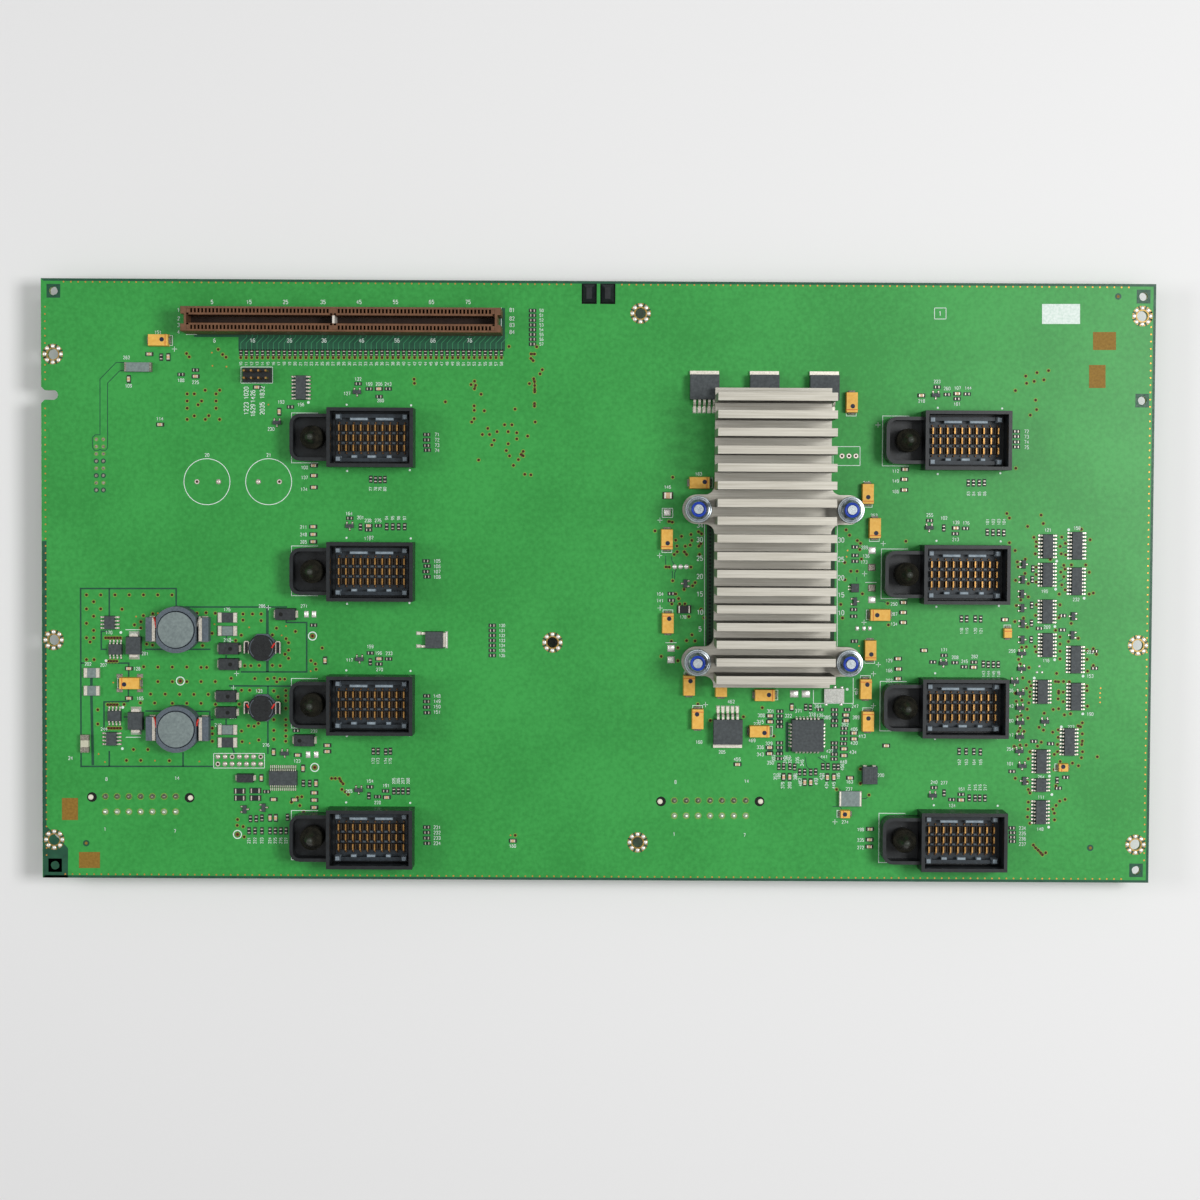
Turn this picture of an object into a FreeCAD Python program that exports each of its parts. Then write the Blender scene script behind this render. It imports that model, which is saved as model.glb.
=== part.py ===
import FreeCAD, Part
import math
import os
from FreeCAD import Vector

# Switch backplane board, in millimetres, +X to the right, +Y up the board, +Z out of the component side.
# The origin is the centre of the four-hole mounting rectangle, on the rear face of the circuit board.

# Module sockets: two columns of keyed boxes, each with a guide cup on its left
SOCKET_COUNT = 4
SOCKET_PITCH = 46.7
COLUMN_SPACING = 207.6
FIRST_SOCKET_DROP = 55.4
LAST_SOCKET_RISE = 15.5
LEFT_COLUMN_INSET = 116.4
RIGHT_COLUMN_INSET = 67.0
BOX_LENGTH = 30.0
BOX_WIDTH = 20.6
BOX_HEIGHT = 12.0
BOX_WALL = 1.2
BOX_FLOOR = 1.2
CUP_LENGTH = 13.2
CUP_WIDTH = 16.4
CUP_HEIGHT = 8.8
CUP_WALL = 1.2
CUP_FLOOR = 1.5
CUP_CORNER = 3.6
POST_DIAMETER = 8.2
POST_SETBACK = 5.4
POST_SHANK = 7.4
POST_SHOULDER = 1.0
POST_STEP = 0.7
POST_HEIGHT = 14.1
POST_TIP = 1.8
INSERT_END_GAP = 1.2
INSERT_SIDE_GAP = 0.8
INSERT_PLATE = 0.8
INSERT_RAIL = 1.3
INSERT_RAIL_HEIGHT = 3.4
INSERT_POST = 1.9
INSERT_POST_HEIGHT = 4.8
CONTACT_COLUMNS = 10
CONTACT_ROWS = 3
CONTACT_PITCH_X = 2.54
CONTACT_PITCH_Y = 3.5
BLADE_THICKNESS = 0.45
BLADE_WIDTH = 2.2
BLADE_HEIGHT = 3.0

# Circuit board, which takes its size from the socket grid
BOARD_THICKNESS = 2.4
MOUNT_HOLE = 3.8
LEFT_HOLE_INSET = 4.1
RIGHT_HOLE_INSET = 4.7
BOTTOM_HOLE_INSET = 13.5
HOLE_ROW_SPACING = 70.6
TOP_HOLE_INSET = 11.2
LEFT_TOP_HOLE_INSET = 26.5
MIDDLE_HOLE_X = 15.0
CENTRE_HOLE_X = -15.4
TOOLING_HOLE = 3.0
TOOLING_INSET = 4.4
NOTCH_DROP = 40.8
NOTCH_WIDTH = 3.4
NOTCH_DEPTH = 5.9
NOTCH_FLARE = 1.2

# Clip with two prongs through square holes at the top edge
CLIP_X = 0.2
CLIP_HOLE_LENGTH = 5.3
CLIP_HOLE_WIDTH = 7.3
CLIP_HOLE_GAP = 1.2
CLIP_EDGE = 0.7
CLIP_MARGIN = 1.2
CLIP_PLATE = 2.0
PRONG_CLEARANCE = 0.5
PRONG_RISE = 1.8
PRONG_ROUND = 1.2

# Card edge connector
EDGE_POSITIONS = 82
EDGE_PITCH = 1.27
EDGE_END = 3.8
EDGE_WIDTH = 8.6
EDGE_HEIGHT = 15.3
EDGE_SHIFT = -9.8
EDGE_DROP = 15.05
EDGE_NOTCH_DEPTH = 1.2
EDGE_NOTCH_WIDTH = 3.6
CARD_SLOT_END = 1.7
CARD_SLOT_WIDTH = 2.8
CARD_SLOT_DEPTH = 10.0
KEY_POSITION = 38.5
KEY_THICKNESS = 0.8
KEY_DROP = 1.0

# Switch chip under its heat sink
CHIP_SIZE = 45.0
CHIP_TO_COLUMN = 67.6
CHIP_RISE = 19.2
BALL_MARGIN = 1.25
BALL_HEIGHT = 0.6
SUBSTRATE = 1.2
LID_MARGIN = 3.5
LID_HEIGHT = 1.5
PAD_THICKNESS = 0.3

# Heat sink, its studs, and the springs and flange nuts on them
FIN_COUNT = 17
FIN_PITCH = 6.03
FIN_THICKNESS = 2.75
FIN_HEIGHT = 20.5
SINK_WIDTH = 40.6
SINK_END = 2.6
SINK_BASE = 3.5
SINK_SHIFT_X = 0.1
SINK_CLEARANCE = 0.6
STUD_DIAMETER = 3.3
STUD_MARGIN = 4.0
STUD_PROUD = 0.3
STUD_CLEARANCE = 0.1
SPRING_DIAMETER = 8.2
SPRING_WIRE = 1.1
SPRING_HEIGHT = 8.4
NUT_FLANGE = 9.4
NUT_FLANGE_HEIGHT = 1.2
NUT_ACROSS_FLATS = 6.0
NUT_HEIGHT = 4.4
NUT_TO_FIN = 1.35
EAR_RIM = 0.45
EAR_FILLET = 3.3
EAR_TO_END = 0.68

# Surface-mounted bodies: length, width and height of each kind
REGULATOR_LENGTH = 10.2
REGULATOR_WIDTH = 8.7
REGULATOR_HEIGHT = 4.4
REGULATOR_TAB_WIDTH = 1.4
REGULATOR_TAB_HEIGHT = 1.3
REGULATOR_PITCH = 21.0
REGULATOR_UNDER_SINK = 3.9
TANTALUM_LENGTH = 7.3
TANTALUM_WIDTH = 4.3
TANTALUM_HEIGHT = 2.9
SMALL_TANTALUM_LENGTH = 6.0
SMALL_TANTALUM_WIDTH = 3.2
SMALL_TANTALUM_HEIGHT = 2.5
SQUAT_TANTALUM_LENGTH = 3.6
SQUAT_TANTALUM_WIDTH = 3.0
SQUAT_TANTALUM_HEIGHT = 2.0
SOIC_WIDTH = 3.9
SOIC_HEIGHT = 1.75
SOIC_8_LENGTH = 4.9
SOIC_14_LENGTH = 8.65
SOIC_16_LENGTH = 9.9
SSOP_LENGTH = 10.2
SSOP_WIDTH = 5.3
PLCC_SIZE = 11.5
PLCC_HEIGHT = 4.0
DPAK_LENGTH = 6.5
DPAK_WIDTH = 6.1
DPAK_HEIGHT = 2.3
DIODE_LENGTH = 6.4
DIODE_WIDTH = 5.5
DIODE_HEIGHT = 2.4
DIODE_LEAD_LENGTH = 0.8
DIODE_LEAD_WIDTH = 3.0
DIODE_LEAD_HEIGHT = 1.2
SENSE_LENGTH = 6.8
SENSE_WIDTH = 3.5
SENSE_HEIGHT = 0.8
FILTER_LENGTH = 5.6
FILTER_WIDTH = 3.4
FILTER_HEIGHT = 1.3
LONG_BEAD_LENGTH = 9.4
LONG_BEAD_WIDTH = 3.2
LONG_BEAD_HEIGHT = 2.6
WIDE_BEAD_LENGTH = 7.8
WIDE_BEAD_WIDTH = 5.3
WIDE_BEAD_HEIGHT = 2.0
FUSE_LENGTH = 6.1
FUSE_WIDTH = 2.8
FUSE_HEIGHT = 2.5
OSCILLATOR_LENGTH = 7.0
OSCILLATOR_WIDTH = 5.0
OSCILLATOR_HEIGHT = 1.8
LINE_CHOKE_LENGTH = 6.2
LINE_CHOKE_WIDTH = 5.2
LINE_CHOKE_HEIGHT = 4.0
MOULD_DRAFT = 0.2

# Power chokes: a drum core in a flat-sided shield, with a terminal at each end
DRUM_DIAMETER = 12.7
DRUM_HEIGHT = 7.8
SHIELD_GAP = 0.25
SHIELD_FLAT_WALL = 0.3
SHIELD_LENGTH = 16.4
SHIELD_HEIGHT = 7.4
TERMINAL_REACH = 0.6
TERMINAL_LENGTH = 3.5
TERMINAL_WIDTH = 8.4
TERMINAL_HEIGHT = 5.0
SMALL_DRUM_DIAMETER = 8.0
SMALL_DRUM_HEIGHT = 3.0
SMALL_BASE_SIZE = 9.5
SMALL_BASE_HEIGHT = 2.0
SMALL_TERMINAL_LENGTH = 1.6
SMALL_TERMINAL_WIDTH = 3.4
SMALL_TERMINAL_HEIGHT = 2.6

# Pin header for the mode settings
HEADER_COLUMNS = 4
HEADER_ROWS = 2
HEADER_PITCH = 2.54
HEADER_HEIGHT = 2.5
HEADER_PIN = 0.64
HEADER_PIN_HEIGHT = 6.0

# Power headers on the rear face
POWER_COLUMNS = 7
POWER_PITCH = 4.2
POWER_ROW_SPACING = 5.5
POWER_WELL = 3.4
POWER_WALL = 0.9
POWER_HEIGHT = 12.8
POWER_WELL_DEPTH = 10.5
POWER_FLANGE_LENGTH = 4.2
POWER_FLANGE_WIDTH = 5.0
POWER_FLANGE_HEIGHT = 3.0
POWER_LATCH_LENGTH = 8.0
POWER_LATCH_WIDTH = 1.6
POWER_LATCH_HEIGHT = 2.4
POWER_RISE = 26.4
LEFT_POWER_INSET = 34.6
RIGHT_POWER_INSET = 155.3

# Sides of the repeated round forms, and steps round a moulded corner
POST_SIDES = 12
STUD_SIDES = 12
FLANGE_SIDES = 12
SPRING_SIDES = 8
DRUM_SIDES = 24
SMALL_DRUM_SIDES = 16
HOLE_SIDES = 12
BASE_SIDES = 8
NUT_SIDES = 6
CORNER_STEPS = 4

NEAR = 0.001

# Places worked out from the driving dimensions
BOARD_LENGTH = LEFT_COLUMN_INSET + COLUMN_SPACING + RIGHT_COLUMN_INSET
BOARD_WIDTH = FIRST_SOCKET_DROP + (SOCKET_COUNT - 1) * SOCKET_PITCH + LAST_SOCKET_RISE
HOLE_COLUMN_X = (BOARD_LENGTH - LEFT_HOLE_INSET - RIGHT_HOLE_INSET) / 2
HOLE_ROW_Y = HOLE_ROW_SPACING / 2
LEFT = -HOLE_COLUMN_X - LEFT_HOLE_INSET
RIGHT = HOLE_COLUMN_X + RIGHT_HOLE_INSET
BOTTOM = -HOLE_ROW_Y - BOTTOM_HOLE_INSET
TOP = BOTTOM + BOARD_WIDTH
FRONT = BOARD_THICKNESS
LEFT_COLUMN = LEFT + LEFT_COLUMN_INSET
RIGHT_COLUMN = RIGHT - RIGHT_COLUMN_INSET
COLUMNS = {"left": LEFT_COLUMN, "right": RIGHT_COLUMN}
SOCKET_ROWS = [TOP - FIRST_SOCKET_DROP - row * SOCKET_PITCH for row in range(SOCKET_COUNT)]
MIDDLE = sum(SOCKET_ROWS) / SOCKET_COUNT
CUP_REACH = BOX_LENGTH / 2 + CUP_LENGTH
INSERT_LENGTH = BOX_LENGTH - 2 * (BOX_WALL + INSERT_END_GAP)
INSERT_WIDTH = BOX_WIDTH - 2 * (BOX_WALL + INSERT_SIDE_GAP)
CHIP_X = RIGHT_COLUMN - CHIP_TO_COLUMN
CHIP_Y = MIDDLE + CHIP_RISE
BALL_FIELD = CHIP_SIZE - 2 * BALL_MARGIN
LID_SIZE = CHIP_SIZE - 2 * LID_MARGIN
CHIP_TOP = BALL_HEIGHT + SUBSTRATE + LID_HEIGHT
SINK_UNDERSIDE = max(REGULATOR_HEIGHT + SINK_CLEARANCE, CHIP_TOP + PAD_THICKNESS)
EAR_RADIUS = NUT_FLANGE / 2 + EAR_RIM
EAR_REACH = NUT_FLANGE / 2 + NUT_TO_FIN
SINK_X = CHIP_X + SINK_SHIFT_X
STUD_LEFT = SINK_X - SINK_WIDTH / 2 - EAR_REACH
STUD_RIGHT = SINK_X + SINK_WIDTH / 2 + EAR_REACH
STUD_ROWS = [CHIP_Y - CHIP_SIZE / 2 - STUD_MARGIN, CHIP_Y + CHIP_SIZE / 2 + STUD_MARGIN]
STUDS = [(x, y) for x in (STUD_LEFT, STUD_RIGHT) for y in STUD_ROWS]
SINK_LENGTH = (FIN_COUNT - 1) * FIN_PITCH + FIN_THICKNESS + 2 * SINK_END
SINK_BOTTOM = STUD_ROWS[0] - EAR_RADIUS - EAR_FILLET - EAR_TO_END
SINK_TOP = SINK_BOTTOM + SINK_LENGTH
SINK_Y = (SINK_BOTTOM + SINK_TOP) / 2
SPRING_SEAT = FRONT + SINK_UNDERSIDE + SINK_BASE
NUT_SEAT = SPRING_SEAT + SPRING_HEIGHT
EDGE_X = LEFT_COLUMN + EDGE_SHIFT
EDGE_Y = TOP - EDGE_DROP
EDGE_SPAN = (EDGE_POSITIONS - 1) * EDGE_PITCH
EDGE_LENGTH = EDGE_SPAN + 2 * EDGE_END

# Anchors that the surface-mounted bodies are laid out from
CHIP_ANCHOR = (CHIP_X, CHIP_Y)
SINK_TOP_ANCHOR = (SINK_X, SINK_TOP)
POWER_ANCHOR = (LEFT, MIDDLE)
LEFT_ANCHOR = (LEFT_COLUMN, MIDDLE)
LOGIC_ANCHOR = (RIGHT_COLUMN, MIDDLE)
EDGE_ANCHOR = (EDGE_X - EDGE_LENGTH / 2, EDGE_Y)
LEFT_BOX_1 = (LEFT_COLUMN, SOCKET_ROWS[0])
LEFT_BOX_3 = (LEFT_COLUMN, SOCKET_ROWS[2])
RIGHT_BOX_2 = (RIGHT_COLUMN, SOCKET_ROWS[1])
RIGHT_CUP_3 = (RIGHT_COLUMN - CUP_REACH, SOCKET_ROWS[2])
RIGHT_CUP_4 = (RIGHT_COLUMN - CUP_REACH, SOCKET_ROWS[3])

# Offsets from those anchors, upright bodies first and then lying ones
YELLOW_UPRIGHT = [
    (CHIP_ANCHOR, [(-36.5, 15.9), (-36.0, -13.6), (33.9, 32.2), (36.5, 20.2), (35.3, -22.8),
                   (-28.4, -35.5), (-17.1, -35.9), (-25.3, -47.3)]),
    (SINK_TOP_ANCHOR, [(27.9, -4.6)]),
    (RIGHT_CUP_3, [(-5.6, 6.1), (-4.7, -5.3)]),
]
YELLOW_LYING = [
    (CHIP_ANCHOR, [(-25.2, 35.8), (-1.7, -38.8), (-3.5, -51.6)]),
    (RIGHT_BOX_2, [(-29.0, -14.5)]),
    (POWER_ANCHOR, [(31.2, -16.5)]),
    (EDGE_ANCHOR, [(-9.9, -6.5)]),
]
YELLOW_SQUAT = [(LOGIC_ANCHOR, [(36.2, -44.7)]), (RIGHT_CUP_4, [(-12.4, 8.5)])]
YELLOW_SQUAT_UPRIGHT = [(LOGIC_ANCHOR, [(16.1, 2.7)])]
BLACK_LYING = [
    (POWER_ANCHOR, [(85.9, 8.1), (66.0, -4.1), (66.0, -9.6), (65.1, -20.9), (65.1, -26.6)]),
    (LEFT_BOX_3, [(-23.9, -13.0)]),
]
BLACK_SMALL = [(POWER_ANCHOR, [(71.7, -49.8)])]
SENSE_RESISTORS = [(POWER_ANCHOR, [(65.4, 6.8), (65.4, 2.1), (65.4, -32.8), (65.4, -37.3)])]
FILTER_CHIPS = [(POWER_ANCHOR, [(17.7, -12.9), (17.7, -19.2)])]
LONG_BEAD = [(EDGE_ANCHOR, [(-17.0, -15.95)])]
WIDE_BEAD = [(RIGHT_CUP_4, [(-10.7, 14.0)])]
DIODES = [(POWER_ANCHOR, [(32.5, -3.2), (33.1, -29.8)])]
POWER_SO8_UPRIGHT = [(POWER_ANCHOR, [(24.0, 4.8), (24.6, -36.2)])]
POWER_SO8_LYING = [(POWER_ANCHOR, [(26.0, -4.6), (25.6, -28.1)])]
LARGE_CHOKES = [(POWER_ANCHOR, [(48.4, 2.7), (48.4, -32.2)])]
SMALL_CHOKES = [(POWER_ANCHOR, [(77.9, -3.6), (77.9, -24.9)])]
LINE_CHOKE = [(RIGHT_CUP_4, [(-4.0, 22.5)])]
FUSE = [(POWER_ANCHOR, [(15.4, -37.8)])]
POWER_CONTROLLER = [(POWER_ANCHOR, [(85.0, -49.8)])]
PASS_TRANSISTOR = [(LEFT_ANCHOR, [(21.8, -0.7)])]
CLOCK_DRIVER = [(CHIP_ANCHOR, [(13.4, -52.9)])]
OSCILLATOR = [(CHIP_ANCHOR, [(22.7, -38.9)])]
EDGE_LOGIC = [(LEFT_BOX_1, [(-25.2, 17.6)])]
MODE_HEADER = [(EDGE_ANCHOR, [(24.7, -18.55)])]
LOWER_REGULATOR = [(CHIP_ANCHOR, [(-14.7, -51.7)])]
REGULATOR_SHIFT = -2.8

# Two columns of logic chips: offset from the socket column, gap above the body and body length
LOGIC_TOP = 37.6
FIRST_LOGIC_COLUMN = [
    (29.9, 0.0, SOIC_14_LENGTH), (29.9, 1.35, SOIC_14_LENGTH), (30.0, 4.3, SOIC_14_LENGTH),
    (30.2, 3.2, SOIC_14_LENGTH), (28.6, 7.8, SOIC_14_LENGTH), (28.5, 16.0, SOIC_14_LENGTH),
    (28.5, 1.6, SOIC_8_LENGTH), (28.5, 2.8, SOIC_14_LENGTH),
]
SECOND_LOGIC_TOP = 38.5
SECOND_LOGIC_COLUMN = [
    (40.2, 0.0, SOIC_16_LENGTH), (40.2, 2.6, SOIC_16_LENGTH), (40.2, 17.7, SOIC_16_LENGTH),
    (40.4, 3.2, SOIC_16_LENGTH), (38.3, 6.1, SOIC_16_LENGTH),
]


def block(length, width, height, x, y, z):
    """A box centred on x and y that stands on z."""
    return Part.makeBox(length, width, height, Vector(x - length / 2, y - width / 2, z))


def moulded(length, width, height, x, y, z):
    """A block whose four sides lean in towards the top, as a moulded body's do."""
    body = Part.makeWedge(-length / 2, 0, -width / 2, MOULD_DRAFT - width / 2, MOULD_DRAFT - length / 2,
                          length / 2, height, width / 2, width / 2 - MOULD_DRAFT, length / 2 - MOULD_DRAFT)
    body.rotate(Vector(0, 0, 0), Vector(1, 0, 0), 90)
    body.translate(Vector(x, y, z))
    return body


def rod(diameter, height, x, y, z):
    """An upright cylinder that stands on z."""
    return Part.makeCylinder(diameter / 2, height, Vector(x, y, z))


def prism(corners, height, z):
    """An upright prism on a polygon of (x, y) corners."""
    points = [Vector(x, y, z) for x, y in corners]
    return Part.Face(Part.makePolygon(points + points[:1])).extrude(Vector(0, 0, height))


def around(radius, sides, x, y):
    """The (x, y) corners of a regular polygon, one of its flats facing +X."""
    turns = [2 * math.pi * (side + 0.5) / sides for side in range(sides)]
    return [(x + radius * math.cos(turn), y + radius * math.sin(turn)) for turn in turns]


def turned(outline, sides, x, y, z):
    """A turned form with few sides: (radius, height) steps carried round an upright axis."""
    rings = [[Vector(px, py, z + height) for px, py in around(radius, sides, x, y)]
             for radius, height in outline]
    faces = [Part.Face(Part.makePolygon(ring + ring[:1])) for ring in (rings[0], rings[-1])]
    for low, high in zip(rings, rings[1:]):
        for side in range(sides):
            wall = [low[side - 1], low[side], high[side], high[side - 1], low[side - 1]]
            faces.append(Part.Face(Part.makePolygon(wall)))
    return Part.Solid(Part.Shell(faces))


def flat_sided(diameter, sides, height, x, y, z):
    """A regular prism that measures diameter across its flats, also used as a bore that clears that size."""
    radius = diameter / 2 / math.cos(math.pi / sides)
    return turned([(radius, 0), (radius, height)], sides, x, y, z)


def places(groups):
    """Every (x, y) place of a list of anchors with offsets."""
    return [(anchor[0] + dx, anchor[1] + dy) for anchor, offsets in groups for dx, dy in offsets]


def bodies(make, groups, length, width, height):
    """One body of the same size at every place of the groups, set on the front face."""
    return [make(length, width, height, x, y, FRONT) for x, y in places(groups)]


def upright_edges(shape, x, ys=None):
    """The vertical edges of a shape at x, and at one of ys where those are given."""
    found = []
    for edge in shape.Edges:
        box = edge.BoundBox
        if box.ZLength < NEAR or box.XLength > NEAR or box.YLength > NEAR or abs(box.XMin - x) > NEAR:
            continue
        if ys is None or min(abs(box.YMin - y) for y in ys) < NEAR:
            found.append(edge)
    return found


def save(node, solids):
    """Write one node, as a single solid or as a group of separate ones."""
    shape = solids[0] if len(solids) == 1 else Part.makeCompound(solids)
    shape.exportStep(f"parts/{node}.step")


def clip_holes():
    """The centres of the two square holes that the clip's prongs come through."""
    step = (CLIP_HOLE_LENGTH + CLIP_HOLE_GAP) / 2
    y = TOP - CLIP_EDGE - CLIP_HOLE_WIDTH / 2
    return [(CLIP_X - step, y), (CLIP_X + step, y)]


def circuit_board():
    """The drilled plate, with a keying notch in its left edge and two square clip holes."""
    plate = Part.makeBox(BOARD_LENGTH, BOARD_WIDTH, BOARD_THICKNESS, Vector(LEFT, BOTTOM, 0))
    mount_holes = [(x, y) for x in (-HOLE_COLUMN_X, HOLE_COLUMN_X) for y in (-HOLE_ROW_Y, HOLE_ROW_Y)]
    mount_holes += [(-HOLE_COLUMN_X, TOP - LEFT_TOP_HOLE_INSET), (HOLE_COLUMN_X, TOP - TOP_HOLE_INSET),
                    (MIDDLE_HOLE_X, TOP - TOP_HOLE_INSET), (MIDDLE_HOLE_X, -HOLE_ROW_Y),
                    (CENTRE_HOLE_X, HOLE_ROW_Y)]
    tooling = [(x, y) for x in (LEFT + TOOLING_INSET, RIGHT - TOOLING_INSET)
               for y in (BOTTOM + TOOLING_INSET, TOP - TOOLING_INSET)]
    tooling.append((RIGHT - TOOLING_INSET, TOP - NOTCH_DROP))
    cuts = [rod(MOUNT_HOLE, BOARD_THICKNESS, x, y, 0) for x, y in mount_holes]
    cuts += [flat_sided(TOOLING_HOLE, HOLE_SIDES, BOARD_THICKNESS, x, y, 0) for x, y in tooling]
    cuts += [block(CLIP_HOLE_LENGTH, CLIP_HOLE_WIDTH, BOARD_THICKNESS, x, y, 0) for x, y in clip_holes()]
    notch_y = TOP - NOTCH_DROP
    notch_end = LEFT + NOTCH_DEPTH - NOTCH_WIDTH / 2
    cuts.append(rod(NOTCH_WIDTH, BOARD_THICKNESS, notch_end, notch_y, 0))
    cuts.append(Part.makeBox(notch_end - LEFT, NOTCH_WIDTH, BOARD_THICKNESS,
                             Vector(LEFT, notch_y - NOTCH_WIDTH / 2, 0)))
    board = plate.cut(cuts)
    mouth = upright_edges(board, LEFT, [notch_y - NOTCH_WIDTH / 2, notch_y + NOTCH_WIDTH / 2])
    return board.makeChamfer(NOTCH_FLARE, mouth)


def board_clip():
    """A rear plate with two prongs that pass through the board and end in rounded heads."""
    length = 2 * CLIP_HOLE_LENGTH + CLIP_HOLE_GAP + 2 * CLIP_MARGIN
    width = CLIP_EDGE + CLIP_HOLE_WIDTH + CLIP_MARGIN
    clip = block(length, width, CLIP_PLATE, CLIP_X, TOP - width / 2, -CLIP_PLATE)
    prong_length = CLIP_HOLE_LENGTH - 2 * PRONG_CLEARANCE
    prong_width = CLIP_HOLE_WIDTH - 2 * PRONG_CLEARANCE
    for x, y in clip_holes():
        prong = block(prong_length, prong_width, BOARD_THICKNESS + PRONG_RISE, x, y, 0)
        rim = [edge for edge in prong.Edges if edge.BoundBox.ZMin > BOARD_THICKNESS]
        clip = clip.fuse(prong.makeChamfer(PRONG_ROUND, rim))
    return clip.removeSplitter()


def cup_prism(length, width, corner, height, right, y, z):
    """An upright prism that is square at its right end and rounded at its two left corners."""
    turns = [math.pi / 2 * step / CORNER_STEPS for step in range(CORNER_STEPS + 1)]
    centre_x = right - length + corner
    centre_y = width / 2 - corner
    upper = [(centre_x - corner * math.sin(turn), centre_y + corner * math.cos(turn)) for turn in turns]
    half = [(right, width / 2)] + upper
    outline = [(px, y + py) for px, py in half] + [(px, y - py) for px, py in reversed(half)]
    return prism(outline, height, z)


def module_socket(x, y):
    """A floored box for the contacts, with a lower guide cup moulded on its left wall."""
    box = block(BOX_LENGTH, BOX_WIDTH, BOX_HEIGHT, x, y, FRONT)
    box_left = x - BOX_LENGTH / 2
    cup = cup_prism(CUP_LENGTH, CUP_WIDTH, CUP_CORNER, CUP_HEIGHT, box_left, y, FRONT)
    cavity = block(BOX_LENGTH - 2 * BOX_WALL, BOX_WIDTH - 2 * BOX_WALL, BOX_HEIGHT, x, y, FRONT + BOX_FLOOR)
    well = cup_prism(CUP_LENGTH - CUP_WALL, CUP_WIDTH - 2 * CUP_WALL, CUP_CORNER - CUP_WALL, CUP_HEIGHT,
                     box_left, y, FRONT + CUP_FLOOR)
    return box.fuse(cup).removeSplitter().cut([cavity, well])


def guide_post(x, y):
    """A turned post on the floor of the cup: shank, shoulder and a long cone to a blunt tip."""
    radius = POST_DIAMETER / 2
    outline = [(radius, 0), (radius, POST_SHANK), (radius - POST_STEP, POST_SHANK + POST_SHOULDER),
               (POST_TIP / 2, POST_HEIGHT)]
    return turned(outline, POST_SIDES, x, y, FRONT + CUP_FLOOR)


def socket_insert(x, y):
    """The contact carrier: a plate with a rail along each long side and a taller post at each corner."""
    z = FRONT + BOX_FLOOR
    insert = block(INSERT_LENGTH, INSERT_WIDTH, INSERT_PLATE, x, y, z)
    pieces = []
    for side in (-1, 1):
        rail_y = y + side * (INSERT_WIDTH - INSERT_RAIL) / 2
        post_y = y + side * (INSERT_WIDTH - INSERT_POST) / 2
        pieces.append(block(INSERT_LENGTH, INSERT_RAIL, INSERT_RAIL_HEIGHT, x, rail_y, z))
        for end in (-1, 1):
            post_x = x + end * (INSERT_LENGTH - INSERT_POST) / 2
            pieces.append(block(INSERT_POST, INSERT_POST, INSERT_POST_HEIGHT, post_x, post_y, z))
    return insert.fuse(pieces).removeSplitter()


def socket_contacts(x, y):
    """The grid of contact blades that stand on the carrier's plate."""
    z = FRONT + BOX_FLOOR + INSERT_PLATE
    first_x = x - (CONTACT_COLUMNS - 1) * CONTACT_PITCH_X / 2
    first_y = y - (CONTACT_ROWS - 1) * CONTACT_PITCH_Y / 2
    return [block(BLADE_THICKNESS, BLADE_WIDTH, BLADE_HEIGHT,
                  first_x + column * CONTACT_PITCH_X, first_y + row * CONTACT_PITCH_Y, z)
            for row in range(CONTACT_ROWS) for column in range(CONTACT_COLUMNS)]


def edge_connector():
    """A tall bar with a card slot along its top and a notch down each end."""
    bar = block(EDGE_LENGTH, EDGE_WIDTH, EDGE_HEIGHT, EDGE_X, EDGE_Y, FRONT)
    slot = block(EDGE_SPAN + 2 * CARD_SLOT_END, CARD_SLOT_WIDTH, CARD_SLOT_DEPTH, EDGE_X, EDGE_Y,
                 FRONT + EDGE_HEIGHT - CARD_SLOT_DEPTH)
    ends = [block(2 * EDGE_NOTCH_DEPTH, EDGE_NOTCH_WIDTH, EDGE_HEIGHT,
                  EDGE_X + side * EDGE_LENGTH / 2, EDGE_Y, FRONT) for side in (-1, 1)]
    return bar.cut([slot] + ends)


def connector_key():
    """The polarising key that stands in the card slot in place of two contacts."""
    x = EDGE_X - EDGE_SPAN / 2 + KEY_POSITION * EDGE_PITCH
    return block(KEY_THICKNESS, CARD_SLOT_WIDTH, CARD_SLOT_DEPTH - KEY_DROP, x, EDGE_Y,
                 FRONT + EDGE_HEIGHT - CARD_SLOT_DEPTH)


def switch_chip():
    """A ball-grid package: its field of solder balls, the substrate and the lid."""
    balls = block(BALL_FIELD, BALL_FIELD, BALL_HEIGHT, CHIP_X, CHIP_Y, FRONT)
    substrate = block(CHIP_SIZE, CHIP_SIZE, SUBSTRATE, CHIP_X, CHIP_Y, FRONT + BALL_HEIGHT)
    lid = block(LID_SIZE, LID_SIZE, LID_HEIGHT, CHIP_X, CHIP_Y, FRONT + BALL_HEIGHT + SUBSTRATE)
    return balls.fuse([substrate, lid])


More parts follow.
